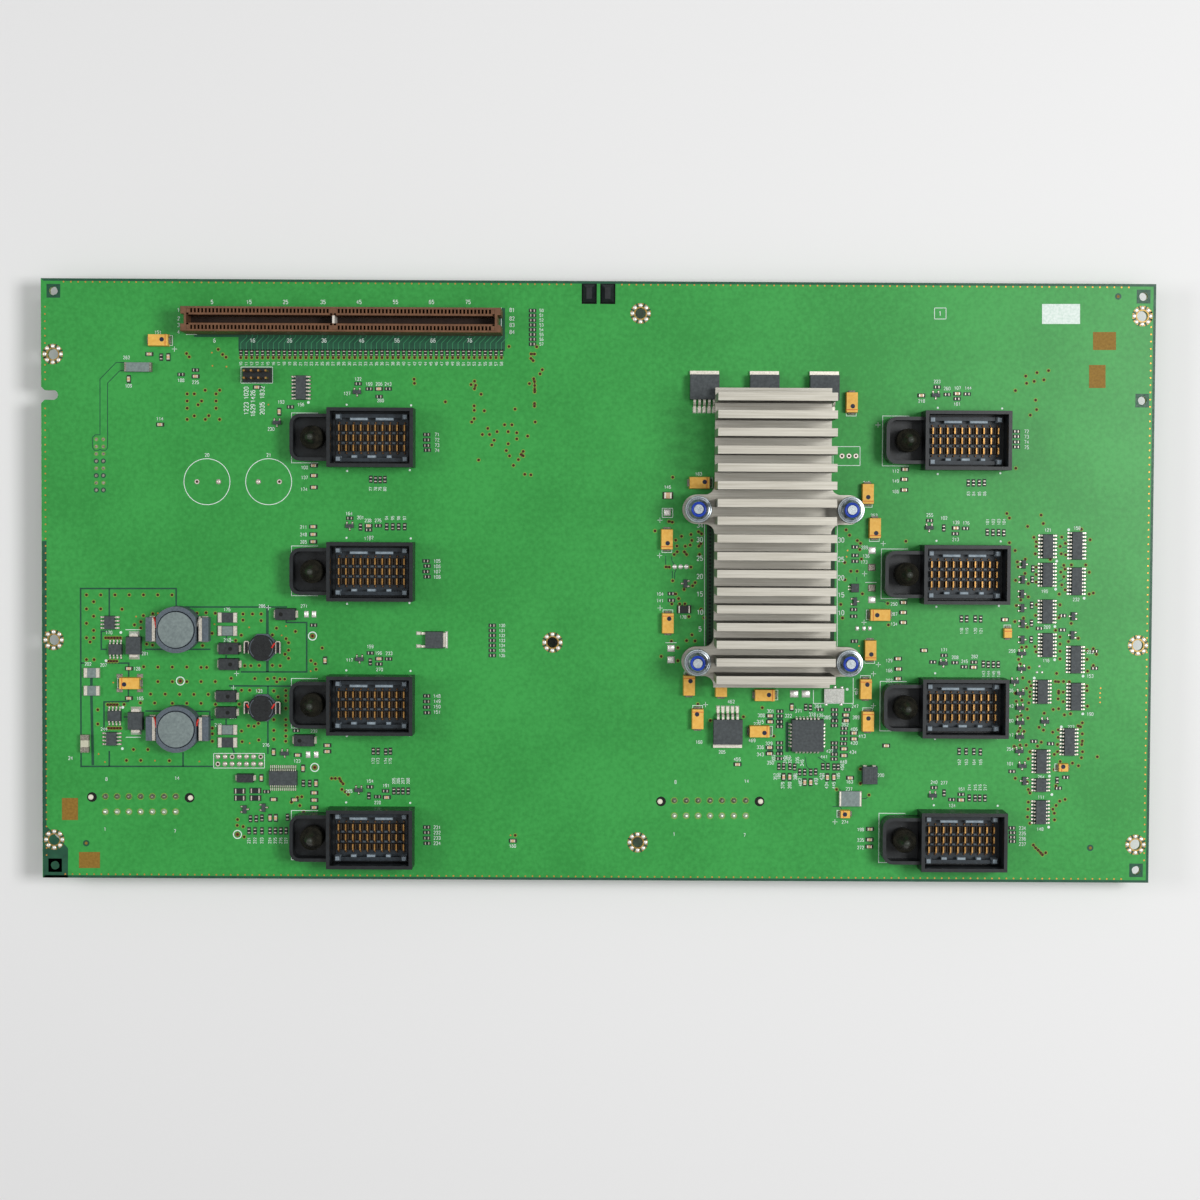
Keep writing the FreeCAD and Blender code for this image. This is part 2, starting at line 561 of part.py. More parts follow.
def heat_sink():
    """A finned base with a foot on the chip and four round ears on necks for the studs."""
    z = FRONT + SINK_UNDERSIDE
    base = block(SINK_WIDTH, SINK_LENGTH, SINK_BASE, SINK_X, SINK_Y, z)
    ears = []
    for x, y in STUDS:
        ears.append(rod(2 * EAR_RADIUS, SINK_BASE, x, y, z))
        ears.append(block(abs(SINK_X - x), 2 * EAR_RADIUS, SINK_BASE, (SINK_X + x) / 2, y, z))
    base = base.fuse(ears).removeSplitter()
    neck_ys = [y + side * EAR_RADIUS for y in STUD_ROWS for side in (-1, 1)]
    for side in (SINK_X - SINK_WIDTH / 2, SINK_X + SINK_WIDTH / 2):
        base = base.makeFillet(EAR_FILLET, upright_edges(base, side, neck_ys))
    first_fin = SINK_Y - (FIN_COUNT - 1) * FIN_PITCH / 2
    fins = [block(SINK_WIDTH, FIN_THICKNESS, FIN_HEIGHT, SINK_X, first_fin + fin * FIN_PITCH, z + SINK_BASE)
            for fin in range(FIN_COUNT)]
    foot_z = FRONT + CHIP_TOP + PAD_THICKNESS
    foot = block(LID_SIZE, LID_SIZE, z - foot_z, CHIP_X, CHIP_Y, foot_z)
    holes = [flat_sided(STUD_DIAMETER + 2 * STUD_CLEARANCE, STUD_SIDES, SINK_BASE, x, y, z) for x, y in STUDS]
    return base.fuse(fins + [foot]).removeSplitter().cut(holes)


def stud(x, y):
    """A plain stud that stands on the board and ends just proud of its nut."""
    radius = STUD_DIAMETER / 2
    length = NUT_SEAT - FRONT + NUT_HEIGHT + STUD_PROUD
    return turned([(radius, 0), (radius, length)], STUD_SIDES, x, y, FRONT)


def spring(x, y):
    """The sleeve that a closed coil spring fills, from the ear up to the nut's flange."""
    sleeve = flat_sided(SPRING_DIAMETER, SPRING_SIDES, SPRING_HEIGHT, x, y, SPRING_SEAT)
    inside = flat_sided(SPRING_DIAMETER - 2 * SPRING_WIRE, SPRING_SIDES, SPRING_HEIGHT, x, y, SPRING_SEAT)
    return sleeve.cut(inside)


def flange_nut(x, y):
    """A hexagon on a round flange, bored to pass its stud."""
    hexagon = flat_sided(NUT_ACROSS_FLATS, NUT_SIDES, NUT_HEIGHT, x, y, NUT_SEAT)
    flange = turned([(NUT_FLANGE / 2, 0), (NUT_FLANGE / 2, NUT_FLANGE_HEIGHT)], FLANGE_SIDES, x, y, NUT_SEAT)
    hole = flat_sided(STUD_DIAMETER + 2 * STUD_CLEARANCE, STUD_SIDES, NUT_HEIGHT, x, y, NUT_SEAT)
    return hexagon.fuse(flange).removeSplitter().cut(hole)


def regulators():
    """Four regulator bodies and the metal tab along one side of each: three in a row and one turned round."""
    row_y = SINK_TOP - REGULATOR_UNDER_SINK + REGULATOR_WIDTH / 2
    seats = [(SINK_X + REGULATOR_SHIFT + step * REGULATOR_PITCH, row_y, 1) for step in (-1, 0, 1)]
    seats += [(x, y, -1) for x, y in places(LOWER_REGULATOR)]
    moulds = [block(REGULATOR_LENGTH, REGULATOR_WIDTH, REGULATOR_HEIGHT, x, y, FRONT) for x, y, side in seats]
    tab_offset = (REGULATOR_WIDTH + REGULATOR_TAB_WIDTH) / 2
    tabs = [block(REGULATOR_LENGTH, REGULATOR_TAB_WIDTH, REGULATOR_TAB_HEIGHT,
                  x, y + side * tab_offset, FRONT) for x, y, side in seats]
    return moulds, tabs


def choke_shield(x, y):
    """A round shield with two flats, bored for its drum."""
    bore_diameter = DRUM_DIAMETER + 2 * SHIELD_GAP
    round_part = turned([(SHIELD_LENGTH / 2, 0), (SHIELD_LENGTH / 2, SHIELD_HEIGHT)], DRUM_SIDES, x, y, FRONT)
    flats = block(bore_diameter + 2 * SHIELD_FLAT_WALL, SHIELD_LENGTH, SHIELD_HEIGHT, x, y, FRONT)
    return round_part.common(flats).cut(flat_sided(bore_diameter, DRUM_SIDES, SHIELD_HEIGHT, x, y, FRONT))


def drum(diameter, sides, height, x, y, z):
    """The drum core of a choke."""
    return turned([(diameter / 2, 0), (diameter / 2, height)], sides, x, y, z)


def choke_terminals():
    """The terminal at each end of every power choke."""
    flat_half = DRUM_DIAMETER / 2 + SHIELD_GAP + SHIELD_FLAT_WALL
    large = flat_half + TERMINAL_REACH + TERMINAL_LENGTH / 2
    small = (SMALL_BASE_SIZE + SMALL_TERMINAL_LENGTH) / 2
    ends = [block(TERMINAL_LENGTH, TERMINAL_WIDTH, TERMINAL_HEIGHT, x + side * large, y, FRONT)
            for x, y in places(LARGE_CHOKES) for side in (-1, 1)]
    ends += [block(SMALL_TERMINAL_LENGTH, SMALL_TERMINAL_WIDTH, SMALL_TERMINAL_HEIGHT,
                   x + side * small, y, FRONT) for x, y in places(SMALL_CHOKES) for side in (-1, 1)]
    return ends


def logic_column(column, top):
    """Chips one below the other, each a gap below the last."""
    chips = []
    edge = LOGIC_ANCHOR[1] + top
    for offset, gap, length in column:
        centre = edge - gap - length / 2
        chips.append(moulded(SOIC_WIDTH, length, SOIC_HEIGHT, LOGIC_ANCHOR[0] + offset, centre, FRONT))
        edge = centre - length / 2
    return chips


def mode_header(x, y):
    """The header's body and the pins that rise from it."""
    body = block(HEADER_COLUMNS * HEADER_PITCH, HEADER_ROWS * HEADER_PITCH, HEADER_HEIGHT, x, y, FRONT)
    first_x = x - (HEADER_COLUMNS - 1) * HEADER_PITCH / 2
    first_y = y - (HEADER_ROWS - 1) * HEADER_PITCH / 2
    pins = [block(HEADER_PIN, HEADER_PIN, HEADER_PIN_HEIGHT,
                  first_x + column * HEADER_PITCH, first_y + row * HEADER_PITCH, FRONT + HEADER_HEIGHT)
            for column in range(HEADER_COLUMNS) for row in range(HEADER_ROWS)]
    return body, pins


def power_header(x, y):
    """A rear header with two rows of square wells, a peg flange at each end and a latch ledge."""
    length = POWER_COLUMNS * POWER_PITCH + 2 * POWER_WALL
    width = POWER_ROW_SPACING + POWER_WELL + 2 * POWER_WALL
    body = block(length, width, POWER_HEIGHT, x, y, -POWER_HEIGHT)
    flange_y = y + (width - POWER_FLANGE_WIDTH) / 2
    flange = block(length + 2 * POWER_FLANGE_LENGTH, POWER_FLANGE_WIDTH, POWER_FLANGE_HEIGHT, x, flange_y,
                   -POWER_FLANGE_HEIGHT)
    latch = block(POWER_LATCH_LENGTH, POWER_LATCH_WIDTH, POWER_LATCH_HEIGHT, x,
                  y - (width + POWER_LATCH_WIDTH) / 2, -POWER_HEIGHT)
    wells = [block(POWER_WELL, POWER_WELL, POWER_WELL_DEPTH,
                   x + (column - (POWER_COLUMNS - 1) / 2) * POWER_PITCH, y + side * POWER_ROW_SPACING / 2,
                   -POWER_HEIGHT)
             for column in range(POWER_COLUMNS) for side in (-1, 1)]
    return body.fuse([flange, latch]).removeSplitter().cut(wells)


os.makedirs("parts", exist_ok=True)

save("circuit_board", [circuit_board()])
save("board_clip", [board_clip()])

# Module sockets, column by column from the top
posts = []
for column, column_x in COLUMNS.items():
    for number, row_y in enumerate(SOCKET_ROWS, 1):
        save(f"module_socket_{column}_{number}", [module_socket(column_x, row_y)])
        save(f"socket_insert_{column}_{number}", [socket_insert(column_x, row_y)])
        save(f"socket_contacts_{column}_{number}", socket_contacts(column_x, row_y))
        posts.append(guide_post(column_x - BOX_LENGTH / 2 - POST_SETBACK, row_y))
save("guide_posts", posts)

# Card edge connector
save("edge_connector", [edge_connector()])
save("connector_key", [connector_key()])

# Switch chip and its cooling
save("switch_chip", [switch_chip()])
save("thermal_pad", [block(LID_SIZE, LID_SIZE, PAD_THICKNESS, CHIP_X, CHIP_Y, FRONT + CHIP_TOP)])
save("heat_sink", [heat_sink()])
save("heat_sink_studs", [stud(x, y) for x, y in STUDS])
save("heat_sink_springs", [spring(x, y) for x, y in STUDS])
save("heat_sink_nuts", [flange_nut(x, y) for x, y in STUDS])

# Power conversion
regulator_bodies, regulator_tabs = regulators()
save("regulator_bodies", regulator_bodies)
save("regulator_tabs", regulator_tabs)
shields = [choke_shield(x, y) for x, y in places(LARGE_CHOKES)]
shields += [flat_sided(SMALL_BASE_SIZE, BASE_SIDES, SMALL_BASE_HEIGHT, x, y, FRONT)
            for x, y in places(SMALL_CHOKES)]
shields += bodies(moulded, LINE_CHOKE, LINE_CHOKE_WIDTH, LINE_CHOKE_LENGTH, LINE_CHOKE_HEIGHT)
save("choke_shields", shields)
drums = [drum(DRUM_DIAMETER, DRUM_SIDES, DRUM_HEIGHT, x, y, FRONT) for x, y in places(LARGE_CHOKES)]
drums += [drum(SMALL_DRUM_DIAMETER, SMALL_DRUM_SIDES, SMALL_DRUM_HEIGHT, x, y, FRONT + SMALL_BASE_HEIGHT)
          for x, y in places(SMALL_CHOKES)]
save("choke_drums", drums)
save("choke_terminals", choke_terminals())
save("sense_resistors", bodies(block, SENSE_RESISTORS, SENSE_LENGTH, SENSE_WIDTH, SENSE_HEIGHT))
save("rectifier_diodes", bodies(moulded, DIODES, DIODE_WIDTH, DIODE_LENGTH, DIODE_HEIGHT))
save("diode_leads", [block(DIODE_LEAD_WIDTH, DIODE_LEAD_LENGTH, DIODE_LEAD_HEIGHT, x,
                           y + side * (DIODE_LENGTH + DIODE_LEAD_LENGTH) / 2, FRONT)
                     for x, y in places(DIODES) for side in (-1, 1)])
transistors = bodies(moulded, POWER_SO8_UPRIGHT, SOIC_WIDTH, SOIC_8_LENGTH, SOIC_HEIGHT)
transistors += bodies(moulded, POWER_SO8_LYING, SOIC_8_LENGTH, SOIC_WIDTH, SOIC_HEIGHT)
save("power_transistors", transistors)
save("pass_transistor", bodies(moulded, PASS_TRANSISTOR, DPAK_LENGTH, DPAK_WIDTH, DPAK_HEIGHT))
save("power_controller", bodies(moulded, POWER_CONTROLLER, SSOP_LENGTH, SSOP_WIDTH, SOIC_HEIGHT))
save("line_fuse", bodies(block, FUSE, FUSE_WIDTH, FUSE_LENGTH, FUSE_HEIGHT))
save("filter_chips", bodies(block, FILTER_CHIPS, FILTER_LENGTH, FILTER_WIDTH, FILTER_HEIGHT))
beads = bodies(block, LONG_BEAD, LONG_BEAD_LENGTH, LONG_BEAD_WIDTH, LONG_BEAD_HEIGHT)
beads += bodies(block, WIDE_BEAD, WIDE_BEAD_LENGTH, WIDE_BEAD_WIDTH, WIDE_BEAD_HEIGHT)
save("ferrite_beads", beads)

# Tantalum capacitors
yellow = bodies(moulded, YELLOW_UPRIGHT, TANTALUM_WIDTH, TANTALUM_LENGTH, TANTALUM_HEIGHT)
yellow += bodies(moulded, YELLOW_LYING, TANTALUM_LENGTH, TANTALUM_WIDTH, TANTALUM_HEIGHT)
yellow += bodies(moulded, YELLOW_SQUAT, SQUAT_TANTALUM_LENGTH, SQUAT_TANTALUM_WIDTH, SQUAT_TANTALUM_HEIGHT)
yellow += bodies(moulded, YELLOW_SQUAT_UPRIGHT, SQUAT_TANTALUM_WIDTH, SQUAT_TANTALUM_LENGTH,
                 SQUAT_TANTALUM_HEIGHT)
save("yellow_tantalums", yellow)
black = bodies(moulded, BLACK_LYING, TANTALUM_LENGTH, TANTALUM_WIDTH, TANTALUM_HEIGHT)
black += bodies(moulded, BLACK_SMALL, SMALL_TANTALUM_LENGTH, SMALL_TANTALUM_WIDTH, SMALL_TANTALUM_HEIGHT)
save("black_tantalums", black)

# Logic and clock
logic = logic_column(FIRST_LOGIC_COLUMN, LOGIC_TOP) + logic_column(SECOND_LOGIC_COLUMN, SECOND_LOGIC_TOP)
logic += bodies(moulded, EDGE_LOGIC, SOIC_WIDTH, SOIC_14_LENGTH, SOIC_HEIGHT)
save("logic_chips", logic)
save("clock_driver", bodies(moulded, CLOCK_DRIVER, PLCC_SIZE, PLCC_SIZE, PLCC_HEIGHT))
save("crystal_oscillator", bodies(block, OSCILLATOR, OSCILLATOR_LENGTH, OSCILLATOR_WIDTH, OSCILLATOR_HEIGHT))
for x, y in places(MODE_HEADER):
    header_body, header_pins = mode_header(x, y)
    save("mode_header_body", [header_body])
    save("mode_header_pins", header_pins)

# Power headers on the rear face
save("left_power_header", [power_header(LEFT + LEFT_POWER_INSET, BOTTOM + POWER_RISE)])
save("right_power_header", [power_header(RIGHT - RIGHT_POWER_INSET, BOTTOM + POWER_RISE)])
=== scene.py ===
# %% [markdown]
# A switch backplane board: a large green circuit board with eight keyed module sockets, a long card connector,
# a finned heat sink and a few hundred small parts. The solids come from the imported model. This lesson gives them
# their finishes and adds what is too fine for them: solder, leads, plated holes, printed marks and small chips.

import bpy
import numpy as np
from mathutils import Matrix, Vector


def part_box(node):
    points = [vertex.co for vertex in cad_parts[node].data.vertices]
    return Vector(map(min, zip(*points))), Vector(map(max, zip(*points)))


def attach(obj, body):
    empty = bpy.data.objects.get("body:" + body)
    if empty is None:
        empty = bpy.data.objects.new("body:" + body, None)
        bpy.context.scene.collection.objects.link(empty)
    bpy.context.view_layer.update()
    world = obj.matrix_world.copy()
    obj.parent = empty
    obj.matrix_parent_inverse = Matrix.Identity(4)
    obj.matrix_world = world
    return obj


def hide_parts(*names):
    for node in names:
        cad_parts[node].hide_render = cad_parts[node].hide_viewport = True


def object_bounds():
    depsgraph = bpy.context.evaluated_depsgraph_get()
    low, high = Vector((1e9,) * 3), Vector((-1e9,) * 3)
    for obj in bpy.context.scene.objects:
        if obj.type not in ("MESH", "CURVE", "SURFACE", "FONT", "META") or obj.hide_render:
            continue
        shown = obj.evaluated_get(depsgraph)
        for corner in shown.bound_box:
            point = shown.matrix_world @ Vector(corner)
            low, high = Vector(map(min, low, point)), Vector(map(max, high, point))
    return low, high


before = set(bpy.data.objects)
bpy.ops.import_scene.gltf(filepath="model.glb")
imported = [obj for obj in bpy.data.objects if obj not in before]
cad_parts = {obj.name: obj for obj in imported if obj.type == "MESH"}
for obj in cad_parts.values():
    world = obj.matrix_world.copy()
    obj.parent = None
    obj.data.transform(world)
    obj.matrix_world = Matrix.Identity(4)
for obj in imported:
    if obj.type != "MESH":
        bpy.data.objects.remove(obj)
CAD_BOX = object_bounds()
MM = 0.001


def box(node):
    """Low and high corner of a node in millimetres."""
    return np.array(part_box(node)) / MM


print("solids loaded as", len(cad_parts), "nodes")

# %% [markdown]
# The photograph was taken from straight above, from a good arm's length. The camera stands a little above the
# middle of the board and leans by two degrees. Its place was found from the corners and holes of the board.
# Because the camera is known, a pixel of the photograph can be turned into a place on the board: follow the ray
# through the pixel down to the front face. The small parts are laid out that way.

# %% Camera, and a way from photo pixels to the board
PHOTO_SIDE = 1200
CAMERA_PLACE = np.array([-0.9, 80.6, 842.4])
CAMERA_TURN = (-0.0360, -0.0024, 0.0051)
LENS, SENSOR = 71.6, 36.0

camera = bpy.data.objects.new("camera", bpy.data.cameras.new("camera"))
camera.data.lens, camera.data.sensor_width = LENS, SENSOR
camera.location = CAMERA_PLACE * MM
camera.rotation_euler = CAMERA_TURN
bpy.context.collection.objects.link(camera)
bpy.context.scene.camera = camera

BOARD_LOW, BOARD_HIGH = box("circuit_board")
FRONT = BOARD_HIGH[2]


def on_board(pixels, height=0.0):
    """Places in millimetres of photo pixels: each pixel's ray, turned as the camera is, down to the front face."""
    pixels = np.asarray(pixels, float).reshape(-1, 2)
    focal = LENS / SENSOR * PHOTO_SIDE
    half = PHOTO_SIDE / 2
    rays = np.column_stack([pixels[:, 0] - half, half - pixels[:, 1], np.full(len(pixels), -focal)])
    rays = rays @ np.array(camera.rotation_euler.to_matrix()).T
    reach = (FRONT + height - CAMERA_PLACE[2]) / rays[:, 2]
    return CAMERA_PLACE[:2] + rays[:, :2] * reach[:, None]


def row(first, step, count):
    """Evenly spaced pixels: first + step times 0, 1, 2 and so on."""
    return np.asarray(first, float) + np.arange(count)[:, None] * np.asarray(step, float)


print("photo centre meets the board at", on_board([[600, 600]]).round(1)[0], "mm")

# %% [markdown]
# The light is a studio's: one wide panel overhead for the metal to mirror, a soft lamp at each side so that
# parts throw short shadows, and a dim even world. The right lamp is the stronger one, and it lays a pale sheen on
# that side of the board. Together they light a level surface at about full strength, so that a colour renders as
# it is written. The floor is a plain pale sheet under the rear headers.

# %% Floor and lights
WORLD_STRENGTH = 0.23
scene = bpy.context.scene
scene.view_settings.view_transform = "Standard"
world = bpy.data.worlds.new("studio")
world.use_nodes = True
world.node_tree.nodes["Background"].inputs["Color"].default_value = (1.0, 1.0, 1.0, 1.0)
world.node_tree.nodes["Background"].inputs["Strength"].default_value = WORLD_STRENGTH
scene.world = world


def lamp(name, place, aim, side, power):
    """A square area lamp, in metres and watts, that faces the point it is aimed at."""
    data = bpy.data.lights.new(name, "AREA")
    data.size, data.energy = side, power
    lamp_object = bpy.data.objects.new(name, data)
    lamp_object.location = place
    lamp_object.rotation_euler = (Vector(aim) - Vector(place)).to_track_quat("-Z", "Y").to_euler()
    bpy.context.collection.objects.link(lamp_object)


lamp("overhead_panel", (0.0, 0.05, 1.6), (0.0, 0.05, 0.0), 1.5, 5.0)
lamp("left_lamp", (-0.75, 0.15, 0.75), (-0.05, 0.05, 0.0), 0.35, 2.4)
lamp("right_lamp", (0.62, 0.15, 1.05), (0.05, 0.05, 0.0), 0.35, 9.2)

floor_mesh = bpy.data.meshes.new("floor")
floor_half, floor_gap = 1.5, 0.0002
floor_z = CAD_BOX[0][2] - floor_gap
floor_mesh.from_pydata([(x * floor_half, y * floor_half, floor_z) for x, y in ((-1, -1), (1, -1), (1, 1), (-1, 1))], [],
                       [(0, 1, 2, 3)])
floor = bpy.data.objects.new("floor", floor_mesh)
bpy.context.collection.objects.link(floor)
print("floor at", round(floor_z / MM, 1), "mm")

# %% [markdown]
# Every finish below is a Principled shader whose colour, gloss and fine relief are moved by a noise with a real
# size in millimetres. Moulded plastic, fired ceramic, tinned lead and printed ink differ in their two colours, in
# the width of their blotches and in how rough they are, so one function makes them all from those values. The real
# grain is finer than a picture of the whole board can show, so the blotches are drawn about a millimetre wide.

# %% Colours, nodes and the common finish
# Most of a noise lies between these two values
NOISE_LOW, NOISE_HIGH, GLOSS_SPREAD = 0.3, 0.7, 0.08


def linear(code):
    """A hex colour as linear light: each channel c becomes ((c + 0.055) / 1.055) to the power 2.4."""
    channels = np.array([int(code[i:i + 2], 16) for i in (1, 3, 5)]) / 255
    light = np.where(channels > 0.04045, ((channels + 0.055) / 1.055) ** 2.4, channels / 12.92)
    return (*light.tolist(), 1.0)


def add(tree, kind, inputs, **settings):
    """Add a node, set its properties, and give each input a value or a link."""
    node = tree.nodes.new(kind)
    for key, value in settings.items():
        setattr(node, key, value)
    for key, value in inputs.items():
        if isinstance(value, bpy.types.NodeSocket):
            tree.links.new(value, node.inputs[key])
        else:
            node.inputs[key].default_value = value
    return node


def blank(name):
    """A material with an empty node tree, that tree, and its Object coordinates."""
    material = bpy.data.materials.new(name)
    material.use_nodes = True
    tree = material.node_tree
    tree.nodes.clear()
    return material, tree, add(tree, "ShaderNodeTexCoord", {}).outputs["Object"]


def close(tree, shader):
    """Join a finished shader to the material's output."""
    add(tree, "ShaderNodeOutputMaterial", {"Surface": shader.outputs["BSDF"]})


def by_facing(tree, axis, across, along):
    """Mix two colours by how squarely a face looks along an axis: the size of its normal's part on that axis."""
    normal = add(tree, "ShaderNodeNewGeometry", {}).outputs["Normal"]
    part = add(tree, "ShaderNodeSeparateXYZ", {"Vector": normal}).outputs[axis]
    squarely = add(tree, "ShaderNodeMath", {0: part}, operation="ABSOLUTE").outputs[0]
    return add(tree, "ShaderNodeMix", {"Factor": squarely, 6: across, 7: along}, data_type="RGBA")


def finish(name, dark, light, spot, rough, metallic=0.0, relief=0.0, stretch=(1, 1, 1), shine=0.25, wall=None):
    """Two colours mixed by noise with blotches of spot mm; a finer noise moves the gloss and gives relief in mm.

    Faces that look along y take the colour wall, where one is given: painted shade on the sides of a piece.
    """
    material, tree, place = blank(name)
    shaped = add(tree, "ShaderNodeMapping", {"Vector": place, "Scale": stretch}).outputs["Vector"]
    blotch = add(tree, "ShaderNodeTexNoise", {"Vector": shaped, "Scale": 1 / (spot * MM), "Detail": 3.0})
    grain = add(tree, "ShaderNodeTexNoise", {"Vector": shaped, "Scale": 4 / (spot * MM), "Detail": 2.0})
    spread = add(tree, "ShaderNodeMapRange", {"Value": blotch.outputs["Fac"], "From Min": NOISE_LOW,
                                              "From Max": NOISE_HIGH})
    colour = add(tree, "ShaderNodeMix", {"Factor": spread.outputs["Result"], 6: linear(dark), 7: linear(light)},
                 data_type="RGBA")
    # Painted shade: faces that look along y take the darker colour wall
    if wall:
        colour = by_facing(tree, "Y", colour.outputs[2], linear(wall))
    gloss = add(tree, "ShaderNodeMapRange", {
        "Value": grain.outputs["Fac"], "From Min": NOISE_LOW, "From Max": NOISE_HIGH,
        "To Min": max(rough - GLOSS_SPREAD, 0.05), "To Max": min(rough + GLOSS_SPREAD, 1.0)})
    bump = add(tree, "ShaderNodeBump", {"Height": grain.outputs["Fac"], "Strength": 0.6, "Distance": relief * MM})
    shader = add(tree, "ShaderNodeBsdfPrincipled", {
        "Base Color": colour.outputs[2], "Roughness": gloss.outputs["Result"], "Metallic": metallic,
        "Specular IOR Level": 0.5 if metallic else shine, "Normal": bump.outputs["Normal"]})
    close(tree, shader)
    return material


print("gold in linear light:", np.round(linear("#C98A3C")[:3], 3))

# %% [markdown]
# The solder mask is a green lacquer over copper foil. Seen from above it is an even leaf green with slow cloudy
# changes in thickness, and the weave of the glass below it shows as a faint ripple. At the sawn edge of the board the
# bare glass laminate shows, yellow-green and matt. One material does both: the surface normal tells a face of the
# board from its edge.

# %% Solder mask and laminate
CLOUD, WEAVE, RIPPLE = 38, 1.4, 0.05
mask, tree, place = blank("solder_mask_lacquer_on_copper")
cloud = add(tree, "ShaderNodeTexNoise", {"Vector": place, "Scale": 1 / (CLOUD * MM), "Detail": 2.0})
weave = add(tree, "ShaderNodeTexNoise", {"Vector": place, "Scale": 1 / (WEAVE * MM), "Detail": 2.0})
both = add(tree, "ShaderNodeMath", {0: cloud.outputs["Fac"], 1: weave.outputs["Fac"]}, operation="ADD")
spread = add(tree, "ShaderNodeMapRange", {"Value": both.outputs[0], "From Min": 0.75, "From Max": 1.25})
lacquer = add(tree, "ShaderNodeMix", {"Factor": spread.outputs["Result"], 6: linear("#2A8B39"), 7: linear("#369C45")},
              data_type="RGBA")
board_colour = by_facing(tree, "Z", linear("#8FA05A"), lacquer.outputs[2])
ripple = add(tree, "ShaderNodeBump", {"Height": weave.outputs["Fac"], "Strength": 0.25, "Distance": RIPPLE * MM})
close(tree, add(tree, "ShaderNodeBsdfPrincipled", {"Base Color": board_colour.outputs[2], "Roughness": 0.38,
                                                   "Specular IOR Level": 0.25, "Normal": ripple.outputs["Normal"]}))

# Lacquer over bare laminate, where there is no copper under it: a deep blue-green; the same colour also serves as
# painted shade beside the chips and their leads
BARE_AND_SHADE = finish("mask_on_bare_laminate_and_painted_shade", "#174733", "#1F563C", 3.0, 0.4, relief=0.02)
# Lacquer over a copper track in such a bare field: lighter than the field, darker than the copper planes
TRACK = finish("solder_mask_on_copper_track", "#2F8256", "#388C5C", 2.0, 0.4)
# Screen-printed ink: matt white, slightly green where it is thin
INK = finish("screen_printed_white_ink", "#C8DBD0", "#E4EDE8", 0.8, 0.6, relief=0.02)
print("finishes of the board:", len(bpy.data.materials))

# %% [markdown]
# Glass-filled nylon comes from the mould satin black, and its edges catch the light. The same black covers
# the chips, a little greyer and rougher, because moulded epoxy is full of ground quartz.

# %% Moulded finishes
# Glass-filled nylon from the mould: satin black, with a soft light along its edges
BLACK_NYLON = finish("moulded_black_nylon", "#15181A", "#1F2427", 1.6, 0.38, relief=0.03, shine=0.3)
# The same nylon in dark grey: a quiet floor between the blades
DARK_CARRIER = finish("moulded_dark_grey_nylon", "#20262B", "#2F383F", 1.2, 0.4, relief=0.02)
# Mid grey nylon: the stubs stand out a little from that floor
MID_CARRIER = finish("moulded_mid_grey_nylon", "#3E464D", "#525C64", 0.8, 0.42)
# Pale grey nylon: the lightest marks in a socket
PALE_CARRIER = finish("moulded_pale_grey_nylon", "#76848E", "#97A5AE", 1.0, 0.42, relief=0.02)
# Turned acetal: waxy, nearly black, with faint brown clouds
POST_PLASTIC = finish("turned_dark_acetal", "#1C1D1A", "#35332B", 2.2, 0.3, relief=0.02)
# Painted highlight: the same acetal made greyer at the tip, where the round nose catches the light
NOSE_HIGHLIGHT = finish("acetal_nose_painted_highlight", "#30332E", "#434740", 0.8, 0.4)
# Phenolic resin with wood flour: dull reddish brown
BROWN_PHENOLIC = finish("moulded_brown_phenolic", "#634430", "#745139", 1.8, 0.5, relief=0.03)
# Phenolic that hardly any light reaches: blackish brown
SLOT_SHADE = finish("shaded_phenolic_slot", "#21150E", "#2E1E15", 1.2, 0.6)
# Nylon in its own colour: bone white
WHITE_KEY = finish("moulded_white_nylon", "#C9C3B8", "#DDD8CE", 1.2, 0.45)
# Epoxy full of ground quartz: dry charcoal with fine specks
EPOXY = finish("moulded_black_epoxy", "#3A3F41", "#4A5052", 0.9, 0.55, relief=0.03)
# Laminate under lacquer, bottle green, darkened with painted shade from the heat sink above it
SUBSTRATE = finish("laminate_chip_package", "#16321E", "#1F4128", 1.4, 0.5)
# Soft filled rubber: flat mid grey
PAD_FILM = finish("grey_thermal_pad", "#8C8C8C", "#9A9A9A", 1.0, 0.7)
# Moulded nylon: warm ivory with a satin face
IVORY_NYLON = finish("moulded_ivory_nylon", "#D9D3BE", "#E8E3D2", 1.8, 0.5, relief=0.02)
print("finishes with the plastics:", len(bpy.data.materials))

# %% [markdown]
# Tantalum capacitors are moulded in mustard epoxy, chip resistors and coils are fired ceramic or pressed ferrite,
# a dry grey with fine specks.

# %% Cast and fired finishes
# Pigmented epoxy: an even mustard yellow
TANTALUM = finish("moulded_mustard_epoxy", "#DDA645", "#E9B95A", 1.1, 0.5, relief=0.02)
# Printed ink: a thin burnt orange line
TANTALUM_BAND = finish("printed_orange_band", "#C4682C", "#D57A38", 0.7, 0.55)
# A dab of ink: dark blue, softly glossy
NAVY_DOT = finish("printed_navy_dot", "#141C30", "#1E2840", 0.6, 0.5)
# The same epoxy in charcoal: dry, with specks
BLACK_TANTALUM = finish("moulded_charcoal_epoxy", "#2A2D2F", "#393D3F", 0.8, 0.6, relief=0.03)
# Pressed and sintered iron oxide: blue-grey, dry, fine-grained
FERRITE = finish("pressed_grey_ferrite", "#4E5860", "#616B74", 0.7, 0.6, relief=0.03)
# Fired ceramic: greenish grey, half matt
CERAMIC_GREY = finish("fired_grey_ceramic", "#6E7B79", "#808F8C", 0.8, 0.5)
# Glazed ceramic: cream with a soft shine
CERAMIC_IVORY = finish("glazed_ivory_ceramic", "#BAB8A0", "#CBC9B4", 1.0, 0.35)
# Fired dielectric: light tan, half matt
CERAMIC_TAN = finish("fired_tan_ceramic", "#C6A17A", "#D6B590", 0.5, 0.5)
